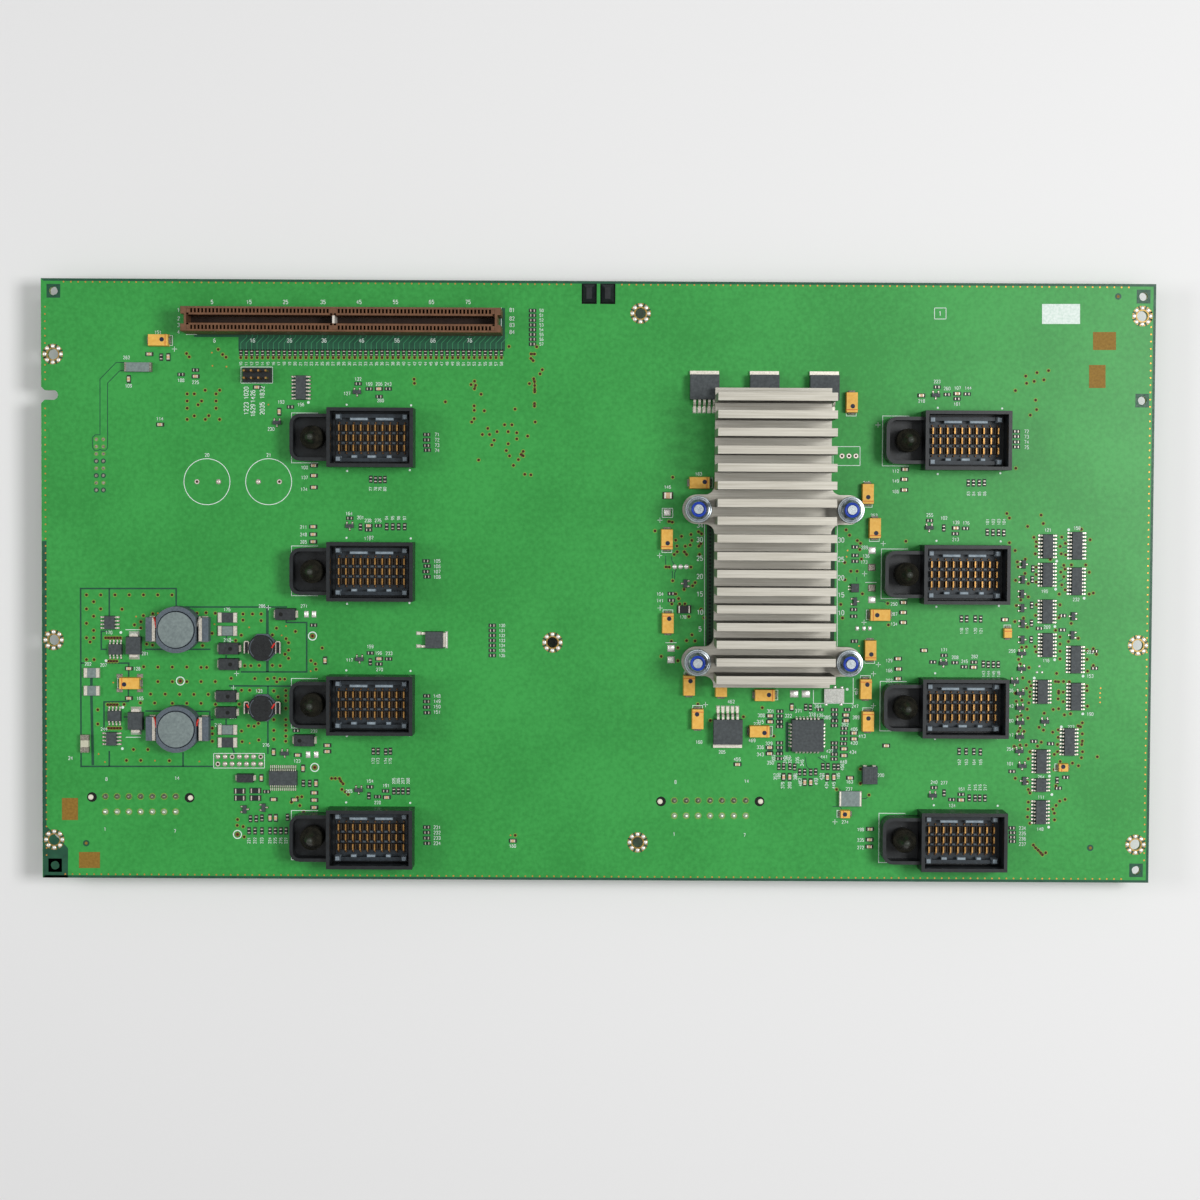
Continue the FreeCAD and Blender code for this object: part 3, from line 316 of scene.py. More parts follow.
# Printed and fired glaze: black with a small bright spot
RESISTOR_GLASS = finish("black_resistor_glaze", "#1E2020", "#2B2D2D", 0.5, 0.35)
# Dyed nylon: deep clear blue
BLUE_NYLON = finish("moulded_blue_nylon", "#0E3195", "#1841AE", 0.8, 0.35)
# Enamel on copper wire: bright glossy red
RED_ENAMEL = finish("red_enamelled_wire", "#C22A22", "#DC3A30", 0.5, 0.35)
# A dipped coating: smooth black with a clear shine
COIL_BLACK = finish("black_coated_ferrite", "#17191A", "#242728", 0.9, 0.3)
# Ground ferrite: paler and greener than its pressed sides
DRUM_FACE = finish("ground_ferrite_face", "#6C7878", "#7F8C8A", 0.9, 0.5, relief=0.02)
# A moulded resistor body: slate grey
SENSE_BODY = finish("dark_resistor_moulding", "#34393B", "#444A4C", 0.7, 0.5)
print("and with the ceramics:", len(bpy.data.materials))

# %% [markdown]
# Metals mirror the studio, so their finish is mostly roughness: drawn tin on leads is satin, solder is bright
# and lumpy, gold flash is warm and smooth, zinc plate is cool. The heat sink is extruded and sawn aluminium,
# whose streaks run along its fins: the sawn tops are pale, and painted shade darkens the sides.

# %% Metal finishes
# Tinned copper: satin, a warm white
TIN = finish("tinned_lead", "#BDB7A9", "#DCD7CB", 0.6, 0.38, metallic=0.6)
# Solder that slopes away from the light: brown shade with a dull gleam
FILLET = finish("shaded_solder_fillet", "#33291E", "#6A5D4C", 0.4, 0.4, metallic=0.4)
# Solder as it froze: bright and lumpy
SOLDER = finish("reflowed_solder", "#D8D6CE", "#F4F2EC", 0.5, 0.3, metallic=0.55, relief=0.05)
# Gold flash on bronze: warm and satin
GOLD = finish("gold_flashed_contact", "#8E6632", "#B28A52", 0.8, 0.34, metallic=0.85)
# Painted shade: the same gold darkened to brown, as it looks deep between the rows
SHADED_GOLD = finish("shaded_gold_contact", "#4A3018", "#70502C", 0.6, 0.45, metallic=0.4)
# Bronze springs in the shade of their cells: nearly black
CELL_BRONZE = finish("bronze_contact_in_shade", "#1C1308", "#36260F", 0.5, 0.55, metallic=0.2)
# A thin gold layer on copper: olive gold
LAND_GOLD = finish("thin_gold_on_copper_land", "#8A6C2C", "#AA8840", 0.8, 0.42, metallic=0.5)
# Dull solder: grey and mottled
DULL_TIN = finish("dull_grey_solder", "#544F45", "#A7A194", 0.45, 0.45, metallic=0.4)
# Immersion gold on copper: small orange glints
COPPER_GOLD = finish("immersion_gold_on_copper", "#A9742F", "#C48C40", 0.8, 0.42, metallic=0.6)
# The plated wall of a small hole: dark brown
VIA_WALL = finish("plated_via_wall", "#2A1408", "#43230F", 0.3, 0.6)
# Copper bared at the edge of the hole: a brown ring
VIA_COLLAR = finish("bared_copper_at_via_edge", "#6E4A20", "#86602A", 0.4, 0.5)
# Lacquer stretched thin over the copper edge: yellow-green
VIA_RIM = finish("thin_lacquer_on_via_rim", "#5E9A3C", "#7CA03E", 0.5, 0.5)
# Gold gone dull: flat ochre
MARK_GOLD = finish("dull_gold_on_copper", "#80601F", "#93702A", 0.8, 0.6)
# Stamped and nickel-plated steel: silvery, faintly dimpled
LID_PLATE = finish("stamped_nickel_lid", "#8F908A", "#B2B3AC", 0.5, 0.34, metallic=0.6, relief=0.03)
# A bore that no light reaches: black
HOLE_DARK = finish("shadowed_bore", "#0F110F", "#171A17", 0.6, 0.7)
# Zinc plate on steel: cool and bright
ZINC = finish("zinc_plated_steel", "#929A9F", "#ADB4B8", 1.2, 0.3, metallic=0.9)
# Extruded aluminium with sawn fin tops: pale streaks on top, painted shade on the sides
ALUMINIUM = finish("sawn_extruded_aluminium", "#9D998E", "#B3B0A6", 0.5, 0.46, metallic=0.75, relief=0.03,
                   stretch=(0.02, 1, 1), wall="#65625A")
print("and with the metals:", len(bpy.data.materials))

# %% [markdown]
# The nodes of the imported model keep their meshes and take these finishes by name.

# %% Dress the solids
DRESS = {
    "circuit_board": mask, "board_clip": BLACK_NYLON, "guide_posts": POST_PLASTIC, "edge_connector": BROWN_PHENOLIC,
    "connector_key": WHITE_KEY, "switch_chip": SUBSTRATE, "thermal_pad": PAD_FILM, "heat_sink": ALUMINIUM,
    "heat_sink_studs": ZINC, "heat_sink_nuts": ZINC, "heat_sink_springs": ZINC, "regulator_bodies": EPOXY,
    "regulator_tabs": TIN, "choke_shields": FERRITE, "choke_drums": FERRITE, "choke_terminals": FERRITE,
    "sense_resistors": SENSE_BODY, "rectifier_diodes": EPOXY, "diode_leads": TIN, "power_transistors": EPOXY,
    "pass_transistor": EPOXY, "power_controller": EPOXY, "line_fuse": CERAMIC_IVORY, "filter_chips": CERAMIC_GREY,
    "ferrite_beads": CERAMIC_GREY, "yellow_tantalums": TANTALUM, "black_tantalums": BLACK_TANTALUM,
    "logic_chips": EPOXY, "clock_driver": EPOXY, "crystal_oscillator": LID_PLATE,
    "mode_header_body": BLACK_NYLON, "mode_header_pins": GOLD, "left_power_header": IVORY_NYLON,
    "right_power_header": IVORY_NYLON, "module_socket": BLACK_NYLON, "socket_insert": DARK_CARRIER,
    "socket_contacts": GOLD,
}
for node_name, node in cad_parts.items():
    family = node_name if node_name in DRESS else node_name.rsplit("_", 2)[0]
    node.data.materials.clear()
    node.data.materials.append(DRESS[family])
print("dressed", len(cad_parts), "nodes with", len(DRESS), "entries")

# %% [markdown]
# Every added piece is swept from numbers. Rings of points are joined side by side into a closed surface, and a
# shape made once is stamped at many places, because a board carries the same lead or chip hundreds of times.

# %% Sweeps, stamps and pieces
DOWN, RIGHT_SIDE, UP, LEFT_SIDE = 270, 0, 90, 180
BLOCK_POINTS = 24


def loft(rings, capped=True):
    """Join rings of points, each to the next; the first and the last ring are closed when capped."""
    steps, around, _ = rings.shape
    index = np.arange(steps * around).reshape(steps, around)
    beside = np.roll(index, -1, axis=1)
    quads = np.stack([index[:-1], beside[:-1], beside[1:], index[1:]], axis=-1).reshape(-1, 4)
    return rings.reshape(-1, 3), [quads] + ([index[:1, ::-1], index[-1:]] if capped else [])


def stamp(shape, places, turns=0.0, z=None):
    """Copies of a shape, turned about z by degrees and moved to places; flat places lie on the front face."""
    points, faces = shape
    places = np.asarray(places, float).reshape(len(places), -1)
    if places.shape[1] == 2:
        places = at_height(places, FRONT if z is None else z)
    angle = np.radians(np.broadcast_to(turns, len(places)))[:, None]
    x = points[:, 0] * np.cos(angle) - points[:, 1] * np.sin(angle)
    y = points[:, 0] * np.sin(angle) + points[:, 1] * np.cos(angle)
    moved = np.stack([x, y, np.broadcast_to(points[:, 2], x.shape)], axis=-1) + places[:, None]
    jump = (np.arange(len(places)) * len(points))[:, None, None]
    return moved.reshape(-1, 3), [(part[None] + jump).reshape(-1, part.shape[1]) for part in faces]


def join(shapes):
    """Several shapes as one: their points in a row, each shape's faces counted on from the last."""
    starts = np.cumsum([0] + [len(points) for points, _ in shapes[:-1]])
    faces = [part + start for (_, parts), start in zip(shapes, starts) for part in parts]
    return np.concatenate([points for points, _ in shapes]), faces


def shift(shape, x=0.0, y=0.0, z=0.0):
    """The same shape, moved."""
    return shape[0] + np.array([x, y, z]), shape[1]


def at_height(points, height=0.0):
    """Points of the plane, as points in space at this height."""
    return np.column_stack([points, np.full(len(points), height)])


def circle(radius, sides, start=0.0):
    """Points at equal angles round a circle; the first stands at the angle start, in radians."""
    angle = start + np.linspace(0, 2 * np.pi, sides, endpoint=False)
    return radius * np.column_stack([np.cos(angle), np.sin(angle)])


def centred(count, step):
    """Evenly spaced values with nought in their middle."""
    return (np.arange(count) - (count - 1) / 2) * step


def slab(length, width, height, bevel=0.1):
    """A block with bevelled top edges: two rings of four corners at full size, a third drawn in at the top."""
    corners = np.array([[-1, -1], [1, -1], [1, 1], [-1, 1]]) / 2
    full, drawn_in = corners * [length, width], corners * [length - 2 * bevel, width - 2 * bevel]
    return loft(np.stack([at_height(full), at_height(full, height - bevel), at_height(drawn_in, height)]))


def turned(profile, sides=32):
    """A profile of radius and height turned round the z axis, as on a lathe."""
    return loft(np.stack([at_height(circle(radius, sides), level) for radius, level in profile]))


def directions(path):
    """The direction of a path at each of its points, as a vector of length one."""
    run = np.gradient(path, axis=0)
    return run / np.linalg.norm(run, axis=1)[:, None]


def strip(path, width, thick):
    """A flat bar bent along a path in x and z: at each point a rectangle, width along y, thick along the normal."""
    path = np.asarray(path, float)
    run = directions(path)
    side, lift = np.array([-1, 1, 1, -1]) * width / 2, np.array([-1, -1, 1, 1]) * thick / 2
    x, z = path[:, :1] - run[:, 1:] * lift, path[:, 1:] + run[:, :1] * lift
    return loft(np.stack([x, np.broadcast_to(side, x.shape), z], axis=-1))


def build(name, shapes, material, slot, smooth=0):
    """One piece from shapes in millimetres; faces meeting at less than smooth degrees are shaded as one surface."""
    points, faces = join(shapes)
    mesh = bpy.data.meshes.new(name)
    mesh.from_pydata((points * MM).tolist(), [], [face for part in faces for face in part.tolist()])
    if smooth:
        mesh.shade_smooth()
        mesh.set_sharp_from_angle(angle=np.radians(smooth))
    mesh.materials.append(material)
    piece = bpy.data.objects.new(name, mesh)
    bpy.context.collection.objects.link(piece)
    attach(piece, "root")
    print(name, len(mesh.polygons), "faces")
    return piece


def bodies(node, last=0):
    """Low and high corners in mm of each block of a node, or of its last blocks: a block brings 24 corner points."""
    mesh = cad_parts[node].data
    points = np.empty(len(mesh.vertices) * 3)
    mesh.vertices.foreach_get("co", points)
    blocks = points[-3 * BLOCK_POINTS * last:].reshape(-1, BLOCK_POINTS, 3) / MM
    return blocks.min(axis=1), blocks.max(axis=1)


def middle(low, high):
    """The middle of a block, or of each of several, as seen from above."""
    return (low + high)[..., :2] / 2


print("a block in this model has", BLOCK_POINTS, "corner points")

# %% [markdown]
# The card connector is a moulded phenolic trough. Between its long walls stand thin ribs, one between every two
# contacts, so from above it looks like two ladders with a slot between them. The contacts are sprung strips of
# gold-flashed bronze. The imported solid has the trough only, and this piece stands for it with its ribs.

# %% Card connector
CONTACT_STEP, CONTACT_COUNT, KEY_PLACES = 1.27, 82, (38, 39)
RIB_THICK, LIP_WIDE, LIP_HIGH, SPRING_Y = 0.62, 0.75, 0.9, 3.0
edge_low, edge_high = box("edge_connector")
edge_middle, edge_top = middle(edge_low, edge_high), edge_high[2]
half_long, half_wide = (edge_high - edge_low)[:2] / 2
notch_deep, notch_half = 1.2, 1.8
slot_half, chamber_half, slot_deep = 1.4, 3.6, 10.0
slot_long, rib_base = half_long - 2.1, edge_top - slot_deep
rib_y, rib_wide = (slot_half + chamber_half) / 2, chamber_half - slot_half


def ring_of(half):
    """A ring from its right half: the same points again, after half a turn."""
    return np.concatenate([half, -np.array(half)])


def on_both_walls(x_places, y, z):
    """Places at each x, on the lower and on the upper wall."""
    return [(x, side * y, z) for x in x_places for side in (-1, 1)]


def at_connector(parts):
    """The parts, moved to where the connector stands."""
    return [shift(part, *edge_middle) for part in parts]


outline = ring_of([(half_long, -half_wide), (half_long, -notch_half), (half_long - notch_deep, -notch_half),
                   (half_long - notch_deep, notch_half), (half_long, notch_half), (half_long, half_wide)])
mouth = ring_of([(slot_long, y) for y in (-chamber_half, -notch_half, -notch_half / 2, notch_half / 2, notch_half,
                                          chamber_half)])
trough = loft(np.stack([at_height(ring, level) for ring, level in (
    (outline, edge_low[2]), (outline, edge_top - 0.3), (outline * [0.997, 0.96], edge_top), (mouth, edge_top),
    (mouth, rib_base))]))
contact_x = centred(CONTACT_COUNT, CONTACT_STEP)
rib_x = np.append(contact_x, contact_x[-1] + CONTACT_STEP) - CONTACT_STEP / 2
used_x, key_x = np.delete(contact_x, KEY_PLACES), contact_x[list(KEY_PLACES)].mean()
end_long = slot_long - contact_x[-1] - CONTACT_STEP / 2 + 0.1
end_x = slot_long - end_long / 2
ribs = stamp(slab(RIB_THICK, rib_wide, slot_deep, 0.12), on_both_walls(rib_x, rib_y, rib_base))
lips = stamp(slab(2 * slot_long, LIP_WIDE, LIP_HIGH), on_both_walls([0], slot_half + 0.37, edge_top - 0.95))
key_blocks = stamp(slab(2 * CONTACT_STEP, rib_wide, slot_deep - 0.05), on_both_walls([key_x], rib_y, rib_base))
end_blocks = stamp(slab(end_long, rib_wide, slot_deep - 0.05), on_both_walls([-end_x, end_x], rib_y, rib_base))
connector = build("edge_connector_ladder", at_connector([trough, ribs, lips, key_blocks, end_blocks]), BROWN_PHENOLIC,
                  "brown_phenolic")
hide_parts("edge_connector")
spring = strip([(0.0, 0.0), (0.35, 2.5), (0.1, 5.5), (0.55, 7.2)], 0.5, 0.18)
springs = [stamp(spring, [(x, side * SPRING_Y, rib_base + 0.2) for x in used_x], -side * 90) for side in (-1, 1)]
build("edge_connector_springs", at_connector(springs), GOLD, "gold_contact")
# Painted shade: dark slabs in the gaps between the contacts and a dark sheet over the floor of the slot
slot_gap_shades = stamp(slab(RIB_THICK, 0.1, 2.8, 0.02), on_both_walls(used_x, slot_half - 0.03, edge_top - 3.9))
slot_floor_shade = shift(slab(2 * slot_long, 2 * slot_half, 0.15, 0.02), z=rib_base)
build("edge_connector_slot_shade", at_connector([slot_gap_shades, slot_floor_shade]), SLOT_SHADE, "brown_phenolic")

# %% [markdown]
# The guide posts are turned: a plain shank, a shoulder, a long taper and a rounded nose that finds the module's
# hole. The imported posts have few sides; these stand for them with a smooth round.

# %% Guide posts
SOCKETS = [f"{column}_{number}" for column in ("left", "right") for number in range(1, 5)]
SOCKET_BOX = np.array([box(f"module_socket_{tag}") for tag in SOCKETS])
INSERT_BOX = np.array([box(f"socket_insert_{tag}") for tag in SOCKETS])
POST_OFFSET, POST_SHANK, POST_NOSE = 20.4, 4.1, 0.9
carrier_mid = INSERT_BOX.mean(axis=1)[:, :2]
post_places = carrier_mid - [POST_OFFSET, 0]
post_low, post_high = box("guide_posts")
post_top = post_high[2]
# Each row is a radius and how far it lies below the tip
post_taper = [(POST_SHANK, 6.9), (POST_SHANK - 0.2, 6.6), (3.4, 5.7), (2.35, 3.3), (1.35, 1.0), (POST_NOSE, 0.3),
              (0.3, 0.0)]
post_profile = [(POST_SHANK, post_low[2])] + [(radius, post_top - drop) for radius, drop in post_taper]
posts = build("guide_posts_turned", [stamp(turned(post_profile), post_places, z=0.0)], POST_PLASTIC, "turned_post", 35)
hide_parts("guide_posts")
# Painted highlight: a grey cap over the round nose of each post
nose_profile = [(1.06, post_top - 0.55), (POST_NOSE, post_top - 0.28), (0.3, post_top)]
build("guide_post_nose_highlights", [stamp(turned(nose_profile, 16), post_places, z=0.02)], NOSE_HIGHLIGHT, "turned_post", 50)

# %% [markdown]
# Each socket has a grey contact carrier. Its four corner posts and the short bars along both long sides are a
# paler nylon. Between the gold blades lie the arms of the bronze springs, two to a cell, painted nearly black with
# shade, and between the rows stand grey stubs with the gilded tip of a shield in each gap, its gold painted brown
# with shade.

# %% Contact carriers
PLATE_TOP, CORNER_TOP, BAR_TOP = 4.4, 8.4, 7.4
CORNER_SIZE, CORNER_INSET, BAR_INSET = 1.95, 0.95, 1.75
BLADE_STEP, BLADE_ROW = 2.54, 3.5
NORTH_BARS, SOUTH_BARS = [(-4.5, 6.2), (4.5, 6.2)], [(-6.1, 1.9), (0.0, 2.9), (6.1, 1.6)]
insert_half = np.ptp(INSERT_BOX[0], axis=0)[:2] / 2
corner_post = slab(CORNER_SIZE, CORNER_SIZE, CORNER_TOP - PLATE_TOP + 0.02, 0.3)
carrier_parts = [shift(corner_post, *(insert_half - CORNER_INSET) * [x, y]) for x in (-1, 1) for y in (-1, 1)]
for bars, side in ((NORTH_BARS, 1), (SOUTH_BARS, -1)):
    carrier_parts += [shift(slab(length, 0.9, BAR_TOP - PLATE_TOP, 0.15), x, side * (insert_half[1] - BAR_INSET))
                      for x, length in bars]
build("carrier_bars", [stamp(join(carrier_parts), carrier_mid, z=PLATE_TOP)], PALE_CARRIER, "grey_nylon")
blade_x, between_x = centred(10, BLADE_STEP), centred(9, BLADE_STEP)
cell_places = [(x + side * 0.48, y) for y in centred(3, BLADE_ROW) for x in between_x for side in (-1, 1)]
stub_places = [(x, y) for y in centred(2, BLADE_ROW) for x in between_x]
tip_places = [(x, y) for y in centred(4, BLADE_ROW) for x in blade_x]
# The cells and the tips carry painted shade: bronze and gold darkened as they look deep between the rows
for name, shape, places, material, slot in (
        ("carrier_cells", slab(0.75, 2.2, 1.3), cell_places, CELL_BRONZE, "gold_contact"),
        ("carrier_stubs", slab(1.2, 0.8, 1.0, 0.15), stub_places, MID_CARRIER, "grey_nylon"),
        ("carrier_tips", slab(0.55, 0.65, 0.8, 0.12), tip_places, SHADED_GOLD, "gold_contact")):
    build(name, [stamp(stamp(shape, places, z=0.0), carrier_mid, z=PLATE_TOP)], material, slot)

# %% [markdown]
# The heat sink is pressed on its chip by springs, so that it can follow the heat. Each stud carries a coil of
# zinc-plated wire under a flange lock nut. The nut's rolled collar grips a blue nylon ring, which rubs on the
# thread so that the nut cannot shake loose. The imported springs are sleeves; the coil fills the same room.

# %% Springs and lock nuts
STUD_HALF = 1.65
COIL_WIRE, COIL_RADIUS, COIL_TURNS, TURN_STEPS = 0.55, 3.5, 6, 20
FLANGE, FLATS, NUT_ROUND = 4.7, 6.0, 48


def wire(path, radius, sides=8):
    """A round wire along a path: at each point a circle, set across the direction of the path."""
    path = np.asarray(path, float)
    run = directions(path)
    across = np.cross(run, [0.0, 0.0, 1.0])
    across /= np.linalg.norm(across, axis=1)[:, None]
    upright = np.cross(across, run)
    round_x, round_y = circle(radius, sides).T[..., None]
    return loft(path[:, None] + round_x * across[:, None] + round_y * upright[:, None])


(stud_low, stud_high), (spring_low, spring_high) = box("heat_sink_studs"), box("heat_sink_springs")
nut_seat = box("heat_sink_nuts")[0, 2]
stud_places = [(x, y) for x in (stud_low[0] + STUD_HALF, stud_high[0] - STUD_HALF)
               for y in (stud_low[1] + STUD_HALF, stud_high[1] - STUD_HALF)]
turn = np.linspace(0, 1, COIL_TURNS * TURN_STEPS + 1)
rise = COIL_WIRE + turn * (spring_high[2] - spring_low[2] - 2 * COIL_WIRE)
coil_angle = 2 * np.pi * COIL_TURNS * turn
coil = wire(np.column_stack([COIL_RADIUS * np.cos(coil_angle), COIL_RADIUS * np.sin(coil_angle), rise]), COIL_WIRE, 6)
coil_turns = [30, 120, 210, 300]
coils = build("heat_sink_coils", [stamp(coil, stud_places, coil_turns, z=spring_low[2])], ZINC, "zinc_steel", 70)
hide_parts("heat_sink_springs")
nut_angle = np.linspace(0, 2 * np.pi, NUT_ROUND, endpoint=False)
hexagon = FLATS / 2 / np.cos((nut_angle + np.pi / 6) % (np.pi / 3) - np.pi / 6)
# Each row is a radius, all round or angle by angle, and its height above the seat of the nut
nut_rings = [(FLANGE, 0.0), (FLANGE, 0.75), (0.96 * FLANGE, 1.0), (0.88 * FLANGE, 1.05), (0.82 * FLANGE, 0.85),
             (3.6, 0.9), (np.maximum(hexagon, 3.3), 1.25), (hexagon, 2.6), (np.minimum(hexagon, 3.05), 3.2),
             (2.9, 3.7), (2.8, 4.25), (2.66, 4.4), (2.6, 4.1), (1.72, 4.1), (1.72, 3.0)]
nut_round = circle(1.0, NUT_ROUND)
nut = loft(np.stack([at_height(nut_round * np.reshape(radius, (-1, 1)), height) for radius, height in nut_rings]))
nuts = build("lock_nuts", [stamp(nut, stud_places, [0, 20, 40, 10], z=nut_seat)], ZINC, "zinc_steel", 30)
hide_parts("heat_sink_nuts")
ring_profile = [(2.6, 4.0), (2.6, 4.25), (2.35, 4.38), (1.95, 4.38), (1.66, 4.2), (1.66, 4.0)]
build("lock_nut_rings", [stamp(turned(ring_profile), stud_places, z=nut_seat)], BLUE_NYLON, "zinc_steel", 60)

# %% [markdown]
# Beside the heat sink a strip of the chip's carrier shows, darkened with painted shade, with a row of dark dots along
# its edge.

# %% Edge of the switch chip
CARRIER_TOP, EDGE_INSET, EDGE_PITCH, EDGE_ENDS = FRONT + 1.8, 1.2, 1.27, 2.0
chip_low, chip_high = box("switch_chip")
edge_rows = np.arange(chip_low[1] + EDGE_ENDS, chip_high[1] - EDGE_ENDS, EDGE_PITCH)
edge_dot = turned([(0.42, 0.0), (0.36, 0.03), (0.1, 0.035)], 10)
edge_places = [(chip_low[0] + EDGE_INSET, y) for y in edge_rows]
build("chip_edge_dots", [stamp(edge_dot, edge_places, z=CARRIER_TOP)], HOLE_DARK, "chip_package")

# %% [markdown]
# Gull-wing leads leave a chip at half its height, bend down and end in a flat foot on the board. They are
# stamped tinned copper, and a wet fillet of solder holds each foot.

# %% Leads of the flat chips
SOIC_STEP, SSOP_STEP, SSOP_COUNT = 1.27, 0.675, 14
SHORT_CHIP, LONG_CHIP, UPRIGHT_FETS = 6, 9.3, 2


def gull(reach, rise, width, thick=0.2):
    """A lead along x: out of the body at the height rise, down in two bends, and flat on the board to reach."""
    bend = 0.35 * reach
    return strip([(-0.3, rise), (0.6 * bend, rise), (bend, rise - 0.15), (1.25 * bend, thick),
                  (1.5 * bend, 0.6 * thick), (reach, 0.6 * thick)], width, thick)


def foot(length, width, height):
    """A fillet of solder: a low mound, full at the board and drawn in above."""
    return slab(length, width, height, 0.45 * min(length, width, 2 * height))


def both_sides(low, high, count, step, across):
    """Places and turns of count leads along both long sides of each block; across is the axis they point along."""
    half = (high - low)[:, :2] / 2
    places, turns = [], []
    for side, angle in ((-1, (LEFT_SIDE, DOWN)[across]), (1, (RIGHT_SIDE, UP)[across])):
        spot = np.repeat(middle(low, high)[:, None], count, axis=1)
        spot[..., across] += side * half[:, across, None]
        spot[..., 1 - across] += centred(count, step)
        places.append(spot.reshape(-1, 2))
        turns.append(np.full(len(places[-1]), angle))
    return np.concatenate(places), np.concatenate(turns)


soic = gull(1.35, 0.8, 0.52), shift(foot(0.85, 0.7, 0.12), 1.15)
ssop = gull(1.85, 0.8, 0.3, 0.16), shift(foot(0.9, 0.42, 0.12), 1.5)
logic_low, logic_high = bodies("logic_chips")
fet_low, fet_high = bodies("power_transistors")
length, upright = (logic_high - logic_low)[:, 1], np.arange(len(fet_low)) < UPRIGHT_FETS
lead_rows = [(soic, both_sides(logic_low[chosen], logic_high[chosen], count, SOIC_STEP, 0)) for count, chosen in (
    (4, length < SHORT_CHIP), (7, (length > SHORT_CHIP) & (length < LONG_CHIP)), (8, length > LONG_CHIP))]
lead_rows += [(soic, both_sides(fet_low[chosen], fet_high[chosen], 4, SOIC_STEP, across))
              for chosen, across in ((upright, 0), (~upright, 1))]
lead_rows.append((ssop, both_sides(*bodies("power_controller"), SSOP_COUNT, SSOP_STEP, 1)))
build("chip_leads", [stamp(lead, *spots) for (lead, _), spots in lead_rows], TIN, "tinned_metal")
build("chip_solder_feet", [stamp(fillet, *spots) for (_, fillet), spots in lead_rows], FILLET, "tinned_metal")

# %% [markdown]
# Copper, lacquer and ink are thin films. They are drawn as flat shapes a few hundredths of a millimetre above the
# board, in the order in which a board shop lays them down: bare fields and tracks, then pads, then printed ink.

# %% Flat films
FIELD, TRACKS, PADS, HOLES, PRINT = 0.02, 0.035, 0.05, 0.065, 0.08


def disc(radius, sides=12):
    """A flat round: points at equal angles."""
    return at_height(circle(radius, sides)), [np.arange(sides)[None]]


def annulus(inner, outer, sides=32):
    """A flat ring between two circles."""
    return loft(np.stack([at_height(circle(outer, sides)), at_height(circle(inner, sides))]), capped=False)


def patch(corners):
    """A flat field with these corners, turned to face up: the sign of its area tells which way they run."""
    corners = np.asarray(corners, float)
    after = np.roll(corners, -1, axis=0)
    area = np.sum(corners[:, 0] * after[:, 1] - corners[:, 1] * after[:, 0])
    order = np.arange(len(corners))[:: 1 if area > 0 else -1]
    return at_height(corners), [order[None]]


def stripe(path, width):
    """A flat line: each point is set off to both sides by half the width along the mitre of its two directions."""
    path = np.asarray(path, float)
    run = np.diff(path, axis=0)
    run /= np.linalg.norm(run, axis=1)[:, None]
    side = np.column_stack([-run[:, 1], run[:, 0]])
    before, after = np.concatenate([side[:1], side]), np.concatenate([side, side[-1:]])
    mitre = (before + after) / (1 + np.sum(before * after, axis=1))[:, None] * width / 2
    index = np.arange(len(path) - 1)
    quads = np.column_stack([index, index + 1, index + 1 + len(path), index + len(path)])
    return at_height(np.concatenate([path - mitre, path + mitre])), [quads]


def rectangle(low, high):
    """The corners of a rectangle, from two opposite ones."""
    return [low, (high[0], low[1]), high, (low[0], high[1])]


def frame_line(low, high, width):
    """A thin rectangle outline between two photo pixels."""
    corners = on_board(rectangle(low, high) + [low])
    return [stripe(corners[i:i + 2], width) for i in range(4)]


def above(shapes, level):
    """The shapes, raised to a film level above the front face."""
    return [shift(shape, z=FRONT + level) for shape in shapes]


def film(name, shape, places, level, material, slot="gold_contact"):
    """One piece from a flat shape, stamped at places on a film level."""
    build(name, [stamp(shape, places, z=FRONT + level)], material, slot)


print("the films lie", FIELD, "to", PRINT, "mm above the board")

# %% [markdown]
# Where the copper planes are parted, the lacquer lies on bare laminate and looks dark. Thin dark lines part the
# power planes at the left, and a dark field under the card connector carries the tracks of its terminators. Beside
# the leads of the flat chips the same dark colour is painted shade, wider on the left than on the right.

# %% Parted planes, bare fields and painted shade beside the leads
PLANE_GAPS = [
    [(176.2, 606.5), (176.2, 588.5), (80.6, 588.5), (81.1, 766.4), (213.7, 766.4)], [(109.3, 588.5), (109.3, 616.1)],
    [(185, 607), (287.1, 607)],
    [(286.3, 619.3), (286.3, 622.5), (306.7, 622.5), (306.7, 671.9), (240.8, 671.9)],
    [(226.5, 634.4), (226.5, 643.2)], [(226.1, 655.2), (226.1, 659.1)],
    [(108.5, 631.2), (101.3, 631.2), (101.3, 649.3), (106.9, 649.3)], [(145.2, 649.3), (210.5, 649.3)],
    [(105.3, 663.1), (128.7, 663.1), (128.7, 680.7)], [(128.4, 683.9), (128.4, 701.4), (104, 701.9), (104, 729.8),
                                                       (109.3, 729.8)],
    [(81.1, 663.1), (84.6, 663.1)],
    [(123.6, 717), (127.6, 717)], [(145.2, 711), (209.7, 711.4), (209.7, 719.7), (213.7, 719.7)],
    [(228.9, 685.8), (291, 686.2)], [(267.9, 686.2), (267.9, 695)], [(267.9, 717.3), (267.9, 754)],
    [(183.1, 752.4), (183.1, 766.4)], [(109.3, 750.8), (109.3, 766.4)], [(226.1, 718.9), (226.1, 725.3)],
    [(230.5, 742), (234.4, 753.2)],
]
WIDE_GAPS = [[(267.4, 607), (267.4, 671.9)], [(91.4, 677.5), (91.4, 686.2)], [(91.4, 695), (92.9, 765.2)]]
GAP_WIDTH, WIDE_GAP, THIN_GAP = 0.56, 0.95, 0.28
